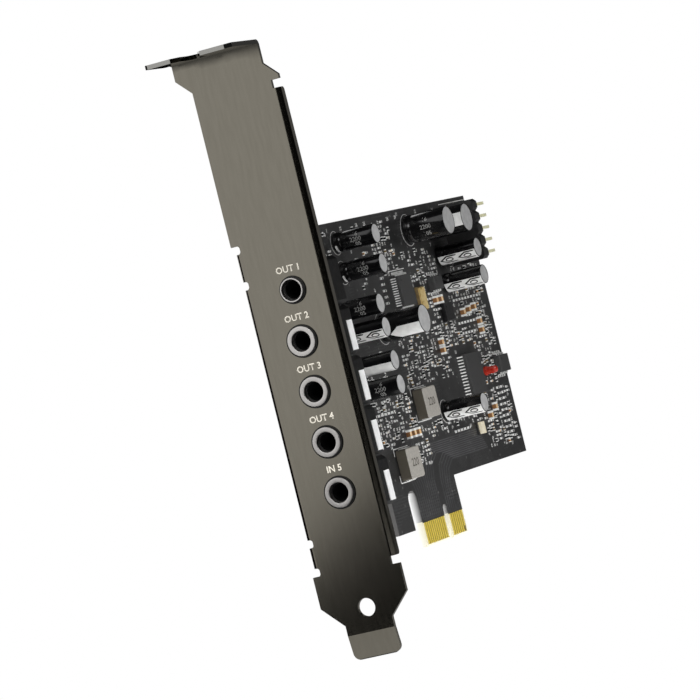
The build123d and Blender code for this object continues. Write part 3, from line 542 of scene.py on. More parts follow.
# Painted shade on the sides of the chokes and the tan chips
darken_sides(finish["choke_block"], tone(84, 79, 69))
darken_sides(finish["tan_ceramic"], tone(150, 106, 66))
print("blocks with darker sides: 2")

# %% [markdown]
# ## Finishes on the solid pieces
# The record says which finish each node has. The same table dresses the solids here,
# so a repaint of one finish reaches every piece that has it. Two nodes then get a
# variant: the header's pins are paler than the contacts, and the power chip is glossier
# than the other chips.

# %% Dress the nodes
slot_of = {entry["node"]: entry["material_slot"] for entry in frame["record"]["subparts"]}
for name, node in nodes.items():
    node.data.materials.clear()
    node.data.materials.append(finish[slot_of[name]])
for name, material in (("header_pins", "pin_plating"), ("power_chip", "chip_shiny")):
    nodes[name].data.materials[0] = finish[material]
print("dressed", len(slot_of), "nodes with", len(set(slot_of.values())), "finishes")

# %% [markdown]
# ## Cans as their maker builds them
# A standing capacitor is an aluminium can rolled in over a rubber foot and dressed in a
# shrink sleeve that curls over its rim and leaves the top bare. The solid has the can's
# outline. Here each of its two sizes is modelled once, standing on the origin: a
# cylinder is bisected at the roll, the ring of the roll is squeezed in, the rim is
# bevelled, and the top is inset for the curl and sunk.


# %% Model one can
CAN_STANDOFF = 0.35 * MM
CAN_ROLL = 1.7 * MM
CAN_ROLL_DEPTH = 0.2 * MM
SLEEVE_CURL = 0.06 * MM
CAN_RIM = 0.14 * MM


def make_can(radius, length):
    can = rod("can", (0, 0, CAN_STANDOFF), (0, 0, 1), radius, length - CAN_STANDOFF, sides=40)
    for height in (CAN_ROLL - 2 * CAN_ROLL_DEPTH, CAN_ROLL, CAN_ROLL + 2 * CAN_ROLL_DEPTH):
        edit(can)
        bpy.ops.mesh.select_all(action="SELECT")
        bpy.ops.mesh.bisect(plane_co=(0, 0, height), plane_no=(0, 0, 1))
        leave_edit()
    pick_edges(can, lambda middle, along: abs(middle.z - CAN_ROLL) < 0.01 * MM and abs(along.z) < 0.1)
    squeeze = 1 - CAN_ROLL_DEPTH / radius
    bpy.ops.transform.resize(value=(squeeze, squeeze, 1), center_override=(0, 0, CAN_ROLL))
    leave_edit()
    pick_edges(can, lambda middle, along: middle.z > length - 0.01 * MM and abs(along.z) < 0.1)
    bpy.ops.mesh.bevel(offset=CAN_RIM, segments=3, profile=0.6)
    leave_edit()
    pick_faces(can, lambda middle, normal: normal.z > 0.99)
    bpy.ops.mesh.inset(thickness=SLEEVE_CURL)
    bpy.ops.mesh.inset(thickness=0.02 * MM)
    bpy.ops.transform.translate(value=(0, 0, -0.07 * MM))
    leave_edit()
    foot = rod("foot", (0, 0, 0), (0, 0, 1), radius * 0.78, CAN_STANDOFF, sides=24)
    for material in ("can_sleeve", "can_metal", "rubber_foot"):
        can.data.materials.append(finish[material])
    for face in can.data.polygons:
        bare = face.normal.z > 0.99 and face.center.xy.length < radius - CAN_RIM - SLEEVE_CURL
        face.material_index = 1 if bare else 0
    foot.data.materials.append(finish["rubber_foot"])
    can = join([can, foot], "can")
    smooth(can)
    return can


def can_size(name):
    low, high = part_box(name)
    middle = (low + high) / 2
    return (high.x - low.x) / 2, FACE_Y - low.y, Vector((middle.x, FACE_Y, middle.z))


# The can stands along +Z, and on the board +Z has to point out of the component face
STAND = Matrix(((1, 0, 0, 0), (0, 0, -1, 0), (0, 1, 0, 0), (0, 0, 0, 1)))
CAN_NAMES = ["capacitor_" + str(number) for number in range(1, 13)]
models = {}
for name in CAN_NAMES:
    radius, length, place = can_size(name)
    key = round(radius / MM, 1)
    if key not in models:
        models[key] = make_can(radius, length)
    can = twin(models[key], name + "_can", Matrix.Translation(place) @ STAND)
    done(can, "can_sleeve", name)
for model in models.values():
    bpy.data.objects.remove(model)
print("cans:", len(CAN_NAMES), "of", len(models), "sizes")

# %% [markdown]
# ## Prints on the sleeves
# A sleeve is printed flat before it is shrunk on. So each print is modelled flat too,
# with U along the can and V round it, and is then wrapped: V over the radius is the
# angle. The stripe marks the negative side. Its arrows are outlines, made by insetting
# a pointed plate and deleting its middle.


# %% Flat prints and the wrap
PRINT_LIFT = 0.012 * MM


def wrap(piece, place, radius, tilt, lift=PRINT_LIFT):
    """Bends a flat print round a can. Tilt 0 faces away from the board's inner end."""
    for vertex in piece.data.vertices:
        u, v, w = vertex.co
        turn = math.radians(tilt) + v / radius
        away = Vector((-math.cos(turn), 0, math.sin(turn)))
        vertex.co = place + OUT * u + away * (radius + lift + w)
    piece.data.update()
    return piece


def flat_stripe(start, end, width, point=0.0):
    """A stripe of many cells, so that it can bend, with a point at its start."""
    deselect()
    bpy.ops.mesh.primitive_grid_add(
        x_subdivisions=8, y_subdivisions=12, size=1, location=((start + end) / 2, 0, 0)
    )
    bpy.context.object.scale = (end - start, width, 1)
    piece = settle("stripe")
    for vertex in piece.data.vertices:
        share = (end - vertex.co.x) / (end - start)
        back = point * abs(vertex.co.y) / (width / 2)
        vertex.co.x += share * back
    piece.data.materials.append(finish["stripe_print"])
    return piece


def flat_outline(corners, line, cuts=0):
    """An outline of even width round a flat shape: filled, inset, and its middle deleted."""
    deselect()
    bpy.ops.mesh.primitive_circle_add(vertices=len(corners), radius=1, fill_type="NGON")
    piece = settle("outline")
    for vertex, corner in zip(piece.data.vertices, corners):
        vertex.co = (corner[0], corner[1], 0)
    edit(piece)
    bpy.ops.mesh.select_all(action="SELECT")
    bpy.ops.mesh.normals_make_consistent(inside=False)
    bpy.ops.mesh.inset(thickness=line)
    bpy.ops.mesh.delete(type="FACE")
    if cuts:
        bpy.ops.mesh.select_all(action="SELECT")
        bpy.ops.mesh.subdivide(number_cuts=cuts)
    leave_edit()
    piece.data.materials.append(finish["black_print"])
    return piece


def flat_arrow(tip, length, width, line):
    """An arrow outline that is open at its tail."""
    half = width / 2
    neck = tip + 0.9 * width
    arrow = flat_outline(
        [(tip, 0), (neck, -half), (tip + length, -half), (tip + length, half), (neck, half)], line, 4
    )
    pick_faces(arrow, lambda middle, normal: middle.x > tip + length - 1.05 * line)
    bpy.ops.mesh.delete(type="FACE")
    leave_edit()
    return arrow


def flat_ellipse(length, width, line, middle=0.0, sides=40):
    turns = [2 * math.pi * i / sides for i in range(sides)]
    points = [(middle + length / 2 * math.cos(t), width / 2 * math.sin(t)) for t in turns]
    return flat_outline(points, line)


def flat_number(words, size, u, v, material="grey_print", bold=0.0):
    """Plain figures as a flat mesh, reading along U, its middle at (u, v)."""
    deselect()
    bpy.ops.object.text_add()
    text = bpy.context.object
    text.data.body = words
    text.data.size = size
    text.data.align_x = "CENTER"
    text.data.align_y = "CENTER"
    text.data.resolution_u = 2
    text.data.offset = bold * size
    bpy.ops.object.convert(target="MESH")
    text = bpy.context.object
    text.data.transform(Matrix.Translation((u, v, 0)))
    text.data.materials.clear()
    text.data.materials.append(finish[material])
    return text


trial = flat_arrow(0.0, 3 * MM, 1.2 * MM, 0.1 * MM)
print("an arrow outline has", len(trial.data.polygons), "faces")
bpy.data.objects.remove(trial)

# %% Print the sleeves
ARROW_CANS = ("capacitor_4", "capacitor_7", "capacitor_8", "capacitor_9")
POINTED_CANS = ("capacitor_10",)
STRIPE_CANS = ("capacitor_5", "capacitor_12")
PATCH_CANS = ("capacitor_1", "capacitor_2")
NUMBERED_CANS = ("capacitor_1", "capacitor_2", "capacitor_3", "capacitor_6", "capacitor_11")
STRIPE_WIDTH, STRIPE_START, STRIPE_TOP_GAP = 2.8 * MM, 0.5 * MM, 0.08 * MM
STRIPE_UPPER_EDGE = -5.0
STRIPE_TILTS = {"capacitor_5": -46.0, "capacitor_12": -1.0}
ARROW_TILT = -34.0
ARROW_TIPS = (0.7 * MM, 4.8 * MM)
prints = []
for name in CAN_NAMES:
    radius, length, place = can_size(name)
    top = length - STRIPE_TOP_GAP
    tilt = STRIPE_TILTS.get(name, STRIPE_UPPER_EDGE - math.degrees(STRIPE_WIDTH / 2 / radius))
    bands = []
    if name in ARROW_CANS + STRIPE_CANS:
        bands.append((STRIPE_START, top, STRIPE_WIDTH, 0.0))
    if name in POINTED_CANS:
        bands.append((2.4 * MM, top, STRIPE_WIDTH, 2.0 * MM))
    if name in PATCH_CANS:
        bands.append((STRIPE_START, 0.95 * MM, STRIPE_WIDTH * 0.7, 0.0))
    for band in bands:
        prints.append(wrap(flat_stripe(*band), place, radius, tilt))
    if name in ARROW_CANS:
        for tip in ARROW_TIPS:
            arrow = flat_arrow(tip, 4.0 * MM, 1.8 * MM, 0.28 * MM)
            ellipse = flat_ellipse(1.8 * MM, 1.0 * MM, 0.24 * MM, tip + 2.2 * MM, sides=18)
            for outline in (arrow, ellipse):
                prints.append(wrap(outline, place, radius, ARROW_TILT, 2 * PRINT_LIFT))
    if name in NUMBERED_CANS:
        high = 0.62 * radius
        for row, words in enumerate(("16", "2200", "105")):
            number = flat_number(words, 1.25 * MM, 5.2 * MM, high * (0.6 - row * 0.85), bold=0.014)
            prints.append(wrap(number, place, radius, 4.0))
done(join(prints, "sleeve_prints"), "can_sleeve")

# %% [markdown]
# ## Rings of the jacks
# The bright ring at each mouth is a turned sleeve with a rounded front. A cylinder's
# two ends are inset and deleted, the two open loops are bridged to make the wall, and
# the two front edges are bevelled so that the ring catches a round highlight.


# %% Turn the rings
JACKS = ["side", "centre", "rear", "front", "line_in"]
RING_OPENINGS = {"side": 4.15 * MM}
RING_EDGES = {"side": 0.06 * MM}


def make_ring(name):
    low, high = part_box(name + "_jack_ring")
    middle = (low + high) / 2
    outside = (high.y - low.y) / 2
    inside = RING_OPENINGS.get(name, 4.0 * MM) / 2
    front = (low.x, middle.y, middle.z)
    ring = rod(name + "_ring_turned", front, (1, 0, 0), outside, high.x - low.x, sides=56)
    pick_faces(ring, lambda centre, normal: abs(normal.x) > 0.99)
    bpy.ops.mesh.inset(thickness=outside - inside)
    bpy.ops.mesh.delete(type="FACE")
    leave_edit()
    pick_edges(
        ring,
        lambda centre, along: abs(along.x) < 0.1 and (centre.yz - middle.yz).length < inside + 0.01 * MM,
    )
    bpy.ops.mesh.bridge_edge_loops()
    leave_edit()
    pick_edges(ring, lambda centre, along: abs(along.x) < 0.1 and centre.x < low.x + 0.01 * MM)
    bpy.ops.mesh.bevel(offset=RING_EDGES.get(name, 0.1 * MM), segments=4, profile=0.6)
    bpy.ops.mesh.select_all(action="SELECT")
    bpy.ops.mesh.normals_make_consistent(inside=False)
    leave_edit()
    ring.data.materials.append(finish["ring_nickel"])
    smooth(ring, 50)
    return ring


for name in JACKS:
    done(make_ring(name), "ring_nickel", name + "_jack_ring")

# %% [markdown]
# ## Labels on the bracket
# Each jack has a printed label over it. The words here are only what any such plate may
# say: which mouths give sound out, which one takes it in, and a plain number.


# %% Print the labels
def stand_on(piece, place, reading, rising):
    """Lays a flat print against a wall: U along one direction and V along another."""
    reading, rising = Vector(reading), Vector(rising)
    facing = reading.cross(rising)
    turn = Matrix((reading, rising, facing)).transposed().to_4x4()
    piece.data.transform(Matrix.Translation(place) @ turn)
    return piece


LABELS = {"side": "OUT 1", "centre": "OUT 2", "rear": "OUT 3", "front": "OUT 4", "line_in": "IN 5"}
labels = []
for name in JACKS:
    low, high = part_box(name + "_jack_ring")
    place = Vector((-PRINT_LIFT, (low.y + high.y) / 2, high.z + 1.75 * MM))
    label = flat_number(LABELS[name], 1.8 * MM, 0, 0, "cream_print", bold=0.02)
    labels.append(stand_on(label, place, (0, -1, 0), (0, 0, 1)))
done(join(labels, "bracket_labels"), "bracket_plating")

# %% [markdown]
# ## Small chips with bright ends
# A chip resistor or capacitor is a tiny ceramic brick whose two ends are dipped in
# metal. The solids have their bricks. Here each kind is modelled once, a brick with two
# end caps a hair larger than it, and copied onto the places that the solids have. Many
# smaller ones, which the solids leave out, fill the free ground between the chips.


# %% Model the kinds of chip
CAP_SHARE = 0.24


def make_chip(name, length, width, height, material):
    """A chip lying on the board at the origin, its length along X."""
    half, side = length / 2, width / 2
    brick = block(name, (-half * 0.94, -height * 0.96, -side * 0.94), (half * 0.94, 0, side * 0.94))
    brick.data.materials.append(finish[material])
    parts = [brick]
    for end in (-1, 1):
        inner, outer = end * half * (1 - 2 * CAP_SHARE), end * half
        cap = block(
            name + "_cap", (min(inner, outer), -height, -side), (max(inner, outer), 0, side)
        )
        cap.data.materials.append(finish["chip_end"])
        parts.append(cap)
    return join(parts, name)


def outer_faces(node, level):
    """Middles of the small solids of one node, read from their faces at one level."""
    found = set()
    mesh = nodes[node].data
    for face in mesh.polygons:
        corners = [mesh.vertices[i].co for i in face.vertices]
        if all(abs(corner.y - level) < 0.001 * MM for corner in corners):
            xs, zs = [c.x for c in corners], [c.z for c in corners]
            middle = ((min(xs) + max(xs)) / 2, (min(zs) + max(zs)) / 2)
            found.add((round(middle[0], 6), round(middle[1], 6)))
    return sorted(found)


def lay(x, z, upright):
    turn = Matrix.Rotation(math.radians(90 if upright else 0), 4, "Y")
    return Matrix.Translation((x, FACE_Y, z)) @ turn


tan_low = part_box("chip_capacitors")[0].y
tan_places = outer_faces("chip_capacitors", tan_low)
dark_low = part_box("chip_resistors")[0].y
dark_places = outer_faces("chip_resistors", dark_low)
tan_chip = make_chip("tan_chip", 1.8 * MM, 1.0 * MM, FACE_Y - tan_low, "tan_ceramic")
dark_chip = make_chip("dark_chip", 1.0 * MM, 0.5 * MM, FACE_Y - dark_low, "chip_black")
tan_chips = spread(tan_chip, [lay(x, z, True) for x, z in tan_places], "tan_chips")
done(tan_chips, "tan_ceramic", "chip_capacitors")
dark_chips = spread(dark_chip, [lay(x, z, False) for x, z in dark_places], "dark_chips")
done(dark_chips, "chip_black", "chip_resistors")
print("chips from the solids:", len(tan_places), "tan and", len(dark_places), "dark")

# %% [markdown]
# The free ground is known from the solids: the larger pieces on the component side keep
# their own boxes clear. Each dense area of the board is a field with a step in both
# directions. A seeded draw shifts each cell a little and decides whether it holds a chip,
# a printed mark or nothing, so the board comes out the same at every run. Chips lie the
# same way in blocks of cells, which reads as groups and not as scatter.

# %% Find the free ground
random.seed(45)
SKIPPED = (
    "bracket", "circuit_board", "edge_contacts", "choke_terminals", "chip_capacitors", "chip_resistors",
    "header_pins",
)
taken = []
for name in nodes:
    if name not in SKIPPED and not name.endswith("_blades"):
        low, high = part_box(name)
        taken.append((low.x, low.z, high.x, high.z))
for places, half_x, half_z in ((tan_places, 1.0, 0.63), (dark_places, 0.5, 0.25)):
    for x, z in places:
        taken.append((x - half_x * MM, z - half_z * MM, x + half_x * MM, z + half_z * MM))


def is_free(x, z, reach_x, reach_z):
    for low_x, low_z, high_x, high_z in taken:
        if low_x - reach_x < x < high_x + reach_x and low_z - reach_z < z < high_z + reach_z:
            return False
    return True


# Each field as (x from, height from, x to, height to, share of cells that hold a chip)
FIELDS = [
    (54.5, 54.8, 66.5, 66.4, 0.8), (66.5, 55.4, 86.0, 59.6, 0.5), (76.2, 52.8, 84.6, 59.4, 0.8),
    (90.2, 52.4, 107.2, 54.6, 0.9), (70.0, 46.0, 78.4, 55.0, 0.7), (77.5, 37.4, 107.3, 49.0, 0.92),
    (92.6, 27.8, 107.3, 40.0, 0.8), (56.0, 31.6, 81.5, 42.2, 0.6), (35.0, 21.4, 56.0, 31.4, 0.75),
    (52.2, 15.6, 60.0, 21.6, 0.9), (56.0, 20.4, 84.5, 24.2, 0.6), (90.2, 14.8, 107.4, 27.6, 0.92),
    (27.6, 52.0, 35.0, 66.0, 0.35), (36.0, 34.4, 47.0, 40.6, 0.35), (42.4, 52.0, 54.0, 66.0, 0.18),
    (80.6, 21.0, 90.0, 26.0, 0.7),
]
STEP_X, STEP_Z = 1.36 * MM, 0.86 * MM
LOOSENESS = 0.14 * MM
HALF_CELL = 0.1 * MM
CHIP_SHARE = 0.62
chip_places, mark_places = {True: [], False: []}, []
for x_from, height_from, x_to, height_to, share in FIELDS:
    low, high = on_board(x_from, height_from), on_board(x_to, height_to)
    for column in range(int((high.x - low.x) / STEP_X)):
        for row in range(int((high.z - low.z) / STEP_Z)):
            x = low.x + (column + 0.5) * STEP_X
            z = low.z + (row + 0.5) * STEP_Z
            x += random.uniform(-1, 1) * LOOSENESS
            z += random.uniform(-1, 1) * LOOSENESS
            in_gap = math.sin(x * 1300) * math.sin(z * 1700 + x * 400) < -0.3
            if in_gap or not is_free(x, z, 0.66 * MM, 0.42 * MM):
                continue
            taken.append((x - HALF_CELL, z - HALF_CELL, x + HALF_CELL, z + HALF_CELL))
            if random.random() < share * CHIP_SHARE:
                upright = (column // 3 + row // 5) % 2 == 0
                chip_places[upright].append((x, z))
            elif random.random() < share:
                mark_places.append((x, z))
print("free cells with chips:", sum(map(len, chip_places.values())), "with marks:", len(mark_places))

# %% Fill it with fine chips
fine_moves = [lay(x, z, upright) for upright in chip_places for x, z in chip_places[upright]]
random.shuffle(fine_moves)
few, some = len(fine_moves) // 12, len(fine_moves) // 4
for name, material, slot, moves in (
    ("fine_tan_chips", "tan_ceramic", "tan_ceramic", fine_moves[:few]),
    ("fine_pale_chips", "ceramic_tray", "ceramic_tray", fine_moves[few:some]),
    ("fine_dark_chips", "chip_shiny", "chip_black", fine_moves[some:]),
):
    chip = make_chip(name, 0.8 * MM, 0.42 * MM, 0.34 * MM, material)
    done(spread(chip, moves, name), slot)

# %% [markdown]
# The small oscillator is a pale moulded cap that is narrower than the dark tray it is
# glued to. The cap's top edges are broken by a small bevel.

# %% Cap the oscillator
TRAY_HEIGHT = 0.3 * MM
low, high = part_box("oscillator")
tray = block("oscillator_tray", (low.x, FACE_Y - TRAY_HEIGHT, low.z), (high.x, FACE_Y, high.z))
tray.data.materials.append(finish["header_plastic"])
inset = 0.21 * (high.x - low.x)
cap_low, cap_high = (low.x + inset, low.y, low.z), (high.x - inset, FACE_Y - TRAY_HEIGHT, high.z)
cap = block("oscillator_cap", cap_low, cap_high)
cap.data.materials.append(finish["pale_ceramic"])
pick_edges(cap, lambda middle, along: middle.y < cap_low[1] + 0.01 * MM)
bpy.ops.mesh.bevel(offset=0.08 * MM, segments=2, profile=0.6)
leave_edit()
done(join([cap, tray], "oscillator_capped"), "pale_ceramic", "oscillator")

# %% [markdown]
# ## White print on the board
# The white print is a thin ink, so it has an outline and next to no height. Rings stand
# round the feet of some cans, corner lines round the chokes, small bars and plain
# numbers beside the chips. They are flat plates and inset outlines, laid a hair over
# the mask.


# %% Flat prints on the face
LINE = 0.18 * MM
ink = []


def on_face(piece, x, height, lift=PRINT_LIFT):
    """Lays a flat print on the component face, reading along X."""
    return stand_on(piece, on_board(x, height, lift / MM), (1, 0, 0), (0, 0, 1))


def flat_bar(u_from, v_from, u_to, v_to, material="white_print"):
    deselect()
    bpy.ops.mesh.primitive_plane_add(size=1, location=((u_from + u_to) / 2, (v_from + v_to) / 2, 0))
    bpy.context.object.scale = (u_to - u_from, v_to - v_from, 1)
    bar = settle("bar")
    bar.data.materials.append(finish[material])
    return bar


def ink_bar(left, under, right, over):
    """A bar of white ink between two corners of the scene's own X and Z."""
    ink.append(on_face(flat_bar(left, under - PLUG_Z, right, over - PLUG_Z), 0, 0))


def heights(place):
    return (place.z - PLUG_Z) / MM


print("a corner of the board is", heights(board_high), "mm over the plug's lower edge")

# %% Rings and lines round the pieces
for name in ("capacitor_1", "capacitor_2", "capacitor_9", "capacitor_10", "capacitor_11"):
    radius, length, place = can_size(name)
    across = 2 * (radius + 0.45 * MM)
    ring = flat_ellipse(across, across, 0.12 * MM)
    ring.data.materials[0] = finish["white_print"]
    ink.append(on_face(ring, place.x / MM, heights(place)))
CORNER = 1.6 * MM
for name in ("choke_1", "choke_2"):
    low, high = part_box(name)
    left, right = low.x - 0.55 * MM, high.x + 0.3 * MM
    under, over = low.z - 0.45 * MM, high.z + 0.45 * MM
    ink_bar(left, under, right, under + LINE)
    ink_bar(left, over - LINE, right, over)
    ink_bar(left, under, left + LINE, under + CORNER)
    ink_bar(left, over - CORNER, left + LINE, over)
codec_low, codec_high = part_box("codec_leads")
over = codec_high.z + 0.25 * MM
ink_bar(codec_low.x, over, codec_high.x, over + LINE)
# A painted highlight: this white line over the header stands in for the highlight on the top edge of its
# housing
header_low, header_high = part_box("header_housing")
over = header_high.z + 0.4 * MM
ink_bar(header_low.x, over, board_high.x - 0.3 * MM, over + LINE)
print("rings and lines:", len(ink))

# %% Marks between the chips
mark = join([
    flat_bar(-0.3 * MM, -0.08 * MM, 0.3 * MM, 0.08 * MM),
    flat_bar(-0.3 * MM, -0.24 * MM, -0.16 * MM, 0.24 * MM),
    flat_bar(0.1 * MM, -0.24 * MM, 0.24 * MM, 0.24 * MM),
], "mark")
moves = []
for index, (x, z) in enumerate(mark_places):
    turn = Matrix.Rotation(math.radians(90 * (index % 4)), 4, "Z")
    moves.append(Matrix.Translation((x, FACE_Y - PRINT_LIFT, z)) @ STAND @ turn)
patterns = [mark] + [flat_number(words, 0.85 * MM, 0, 0, "white_print", 0.02) for words in ("47", "18")]
for which, pattern in enumerate(patterns):
    ink.append(spread(pattern, moves[which::len(patterns)], "marks"))
print("marks:", len(moves), "in", len(patterns), "patterns")

# %% Plain numbers beside the pieces
NUMBER_SIZE = 1.05 * MM
NUMBERED = CAN_NAMES + ["choke_1", "choke_2", "codec_chip", "controller_chip", "driver_chip", "crystal_lid"]


def ink_number(number, x, height):
    figures = flat_number(str(number), NUMBER_SIZE, 0, 0, "white_print", 0.008)
    ink.append(on_face(figures, x, height))


for number, name in enumerate(NUMBERED, start=1):
    low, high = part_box(name)
    ink_number(number, low.x / MM - 0.9, heights(high) + 0.75)
for number, x in enumerate(range(30, 106, 4), start=len(NUMBERED) + 1):
    for height in (65.9, 14.6 if x > 92 else 44.0):
        if is_free(x * MM, PLUG_Z + height * MM, 0.9 * MM, 0.7 * MM):
            ink_number(number, x, height)
done(join(ink, "board_print"), "solder_mask")

# %% [markdown]
# ## Tracks from the plug
# The tracks of the plug rise side by side from its contacts, and bend away towards the
# controller. Each is a run of flat bars: one up from the contact, one slanting, one
# level. They stand a hair over the face, in the mask's own lighter tone.


# %% Run the tracks
TRACK_START, TRACK_WIDTH = 5.6, 0.2 * MM


def flat_line(start, end, width):
    """A flat bar from one point of the board to another."""
    start, end = Vector(start), Vector(end)
    run = end - start
    bar = flat_bar(0, -width / 2, run.length + width / 2, width / 2, "track_mask")
    turn = math.atan2(run.y, run.x)
    bar.data.transform(Matrix.Translation((start.x, start.y, 0)) @ Matrix.Rotation(turn, 4, "Z"))
    return bar


def track_points(index, x):
    """The corners of one track, in millimetres on the board."""
    if index < 5:
        knee = 11.0 + 0.35 * index
        return [(x, TRACK_START), (x, knee), (x - 0.8, knee + 2.0), (x + 0.3, 20.0 + index * 0.3)]
    lane = 19.6 - 0.42 * (index - 5)
    slant = [(x, lane - 5.0), (x + 1.2, lane - 1.8), (x + 4.2, lane)]
    return [(x, TRACK_START)] + slant + [(84.0 + index * 0.3, lane)]


tracks = []
first_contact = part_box("edge_contacts")[0].x / MM + 0.35
for index in range(16):
    points = track_points(index, first_contact + index + (2.3 if index > 10 else 0))
    for start, end in zip(points, points[1:]):
        line = flat_line([v * MM for v in start], [v * MM for v in end], TRACK_WIDTH)
        tracks.append(on_face(line, 0, 0, 0.5 * PRINT_LIFT))
done(join(tracks, "plug_tracks"), "solder_mask")

# %% [markdown]
# ## Numbers on the chokes
# A moulded choke has its value stamped in its top. A plain number stands there, reading
# along the board, a hair over the face in a darker tone.

# %% Stamp the chokes
stamps = []
for name in ("choke_1", "choke_2"):
    low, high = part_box(name)
    middle = (low + high) / 2
    place = Vector((middle.x, low.y - PRINT_LIFT, middle.z))
    stamp = flat_number("220", 2.3 * MM, 0, 0, "choke_stamp", bold=0.006)
    stamps.append(stand_on(stamp, place, (1, 0, 0), (0, 0, 1)))
done(join(stamps, "choke_stamps"), "choke_block")

# %% [markdown]
# ## Solder on the back
# The leads of the cans, the tails of the jacks and the header's pins come through the
# board and are soldered behind it. Each joint is a small bell of solder with the end
# of its lead standing out. A cone is inset at its tip and the tip is drawn out, and the
# joint is copied to every hole.


# %% Solder the leads
BACK_Y = board_high.y


def make_joint():
    """A bell of solder on the origin, opening along +Y."""
    deselect()
    bpy.ops.mesh.primitive_cone_add(
        vertices=12, radius1=0.85 * MM, radius2=0.4 * MM, depth=0.45 * MM,
        location=(0, 0.225 * MM, 0), rotation=(math.radians(-90), 0, 0),
    )
    joint = settle("joint")
    pick_faces(joint, lambda middle, normal: normal.y > 0.9)
    bpy.ops.mesh.inset(thickness=0.14 * MM)
    bpy.ops.transform.translate(value=(0, 0.12 * MM, 0))
    bpy.ops.mesh.extrude_region_move(TRANSFORM_OT_translate={"value": (0, 0.45 * MM, 0)})
    leave_edit()
    joint.data.materials.append(finish["solder"])
    smooth(joint, 50)
    return joint


holes = []
for name in CAN_NAMES:
    radius, length, place = can_size(name)
    reach = 0.42 * radius
    holes += [(place.x, place.z - reach), (place.x, place.z + reach)]
for name in JACKS:
    low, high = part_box(name + "_jack_blades")
    holes += [(x, z) for x in (low.x + MM, high.x - MM) for z in (low.z + 0.15 * MM, high.z - 0.15 * MM)]
pitch = (header_high.z - header_low.z) / 5
for place in range(5):
    z = header_low.z + (place + 0.5) * pitch
    holes += [(header_low.x + 0.35 * MM, z), (header_high.x - 0.35 * MM, z)]
joints = spread(make_joint(), [Matrix.Translation((x, BACK_Y, z)) for x, z in holes], "solder_joints")
done(joints, "tin_plating")

# %% [markdown]
# ## Floor, world and lights
# The card is shown over a plain white floor in a white room. The camera and the card's
# own surfaces should not see the same room, though: if the plate mirrored white all
# round, it would be white too. So floor and world are white to the camera, and a quiet
# grey to every other ray. In mirror images the floor is pale close by, like a round
# table cloth, and black further off and in front of the plate on the solder side. The
# soft boxes make the shapes readable.

# %% Lay the floor
WHITE = (1.0, 1.0, 1.0, 1)
FLOOR_GREY, FLOOR_MIRRORED_CLOSE, FLOOR_MIRRORED_FAR = 0.3, 0.9, 0.004
CLOSE_REACH, CLOSE_REACH_IN_FRONT, DARK_FROM_Y = 0.33, 0.14, -0.05


def grey(level):
    return (level, level, level, 1)


def white_to_camera(tree, link, look, white, output):
    """The camera sees plain white, and all other rays see the look that was there."""
    white.inputs["Color"].default_value = WHITE
    ray = tree.new("ShaderNodeLightPath")
    choice = tree.new("ShaderNodeMixShader")
    for slot, source in enumerate((ray.outputs["Is Camera Ray"], look.outputs[0], white.outputs[0])):
        link.new(source, choice.inputs[slot])
    link.new(choice.outputs[0], tree[output].inputs["Surface"])
    return ray.outputs["Is Glossy Ray"]


deselect()
bpy.ops.mesh.primitive_plane_add(size=60, location=(0, 0, solid_low.z - 0.0005))
floor = bpy.context.object
floor.name = "floor"
floor_look, tree, link, shader = new_material("floor_look")
shader.inputs["Roughness"].default_value = 0.9
shader.inputs["Specular IOR Level"].default_value = 0.0
glossy = white_to_camera(tree, link, shader, tree.new("ShaderNodeEmission"), "Material Output")
axes = coordinates(tree, link)[1]
x, y = axes["X"], axes["Y"]
squares = [maths(tree, link, "MULTIPLY", side, side) for side in (x, y)]
away = maths(tree, link, "SQRT", maths(tree, link, "ADD", *squares))
before = maths(tree, link, "LESS_THAN", x, 0.0)
reach = maths(tree, link, "ADD", CLOSE_REACH, maths(tree, link, "MULTIPLY", before, CLOSE_REACH_IN_FRONT))
close = maths(tree, link, "LESS_THAN", away, reach)
dark_side = maths(tree, link, "MULTIPLY", before, maths(tree, link, "GREATER_THAN", y, DARK_FROM_Y))
shown = maths(tree, link, "MULTIPLY", close, maths(tree, link, "SUBTRACT", 1.0, dark_side))
mirrored_floor = blend(tree, link, shown, grey(FLOOR_MIRRORED_FAR), grey(FLOOR_MIRRORED_CLOSE))
link.new(blend(tree, link, glossy, grey(FLOOR_GREY), mirrored_floor), shader.inputs["Base Color"])
floor.data.materials.append(floor_look)
print("floor at", round(floor.location.z, 4))

# %% Fill the room
world = bpy.data.worlds.new("studio")
bpy.context.scene.world = world
world.use_nodes = True
tree, link = world.node_tree.nodes, world.node_tree.links
room = tree["Background"]
glossy = white_to_camera(tree, link, room, tree.new("ShaderNodeBackground"), "World Output")
link.new(blend(tree, link, glossy, grey(0.06), grey(0.012)), room.inputs["Color"])
bpy.context.scene.view_settings.view_transform = "Standard"
print("world has", len(tree), "nodes")

# %% [markdown]
# ## The camera
# The photograph was solved from the bracket's known size: a long lens, nearly level,
# a little to the left of the bracket's face, and rolled by fourteen degrees. The lens
# is given as its length in pixels of the picture, so it is turned into millimetres of
# the sensor here.

# %% Place the camera
PICTURE = 700
FOCAL_PIXELS = 5097.849
AZIMUTH, ELEVATION, ROLL = (math.radians(v) for v in (24.077, -0.347, -13.965))
CAMERA_AWAY = 0.970326
TARGET = Vector((0.0, -15.237 * MM, -60.921 * MM))

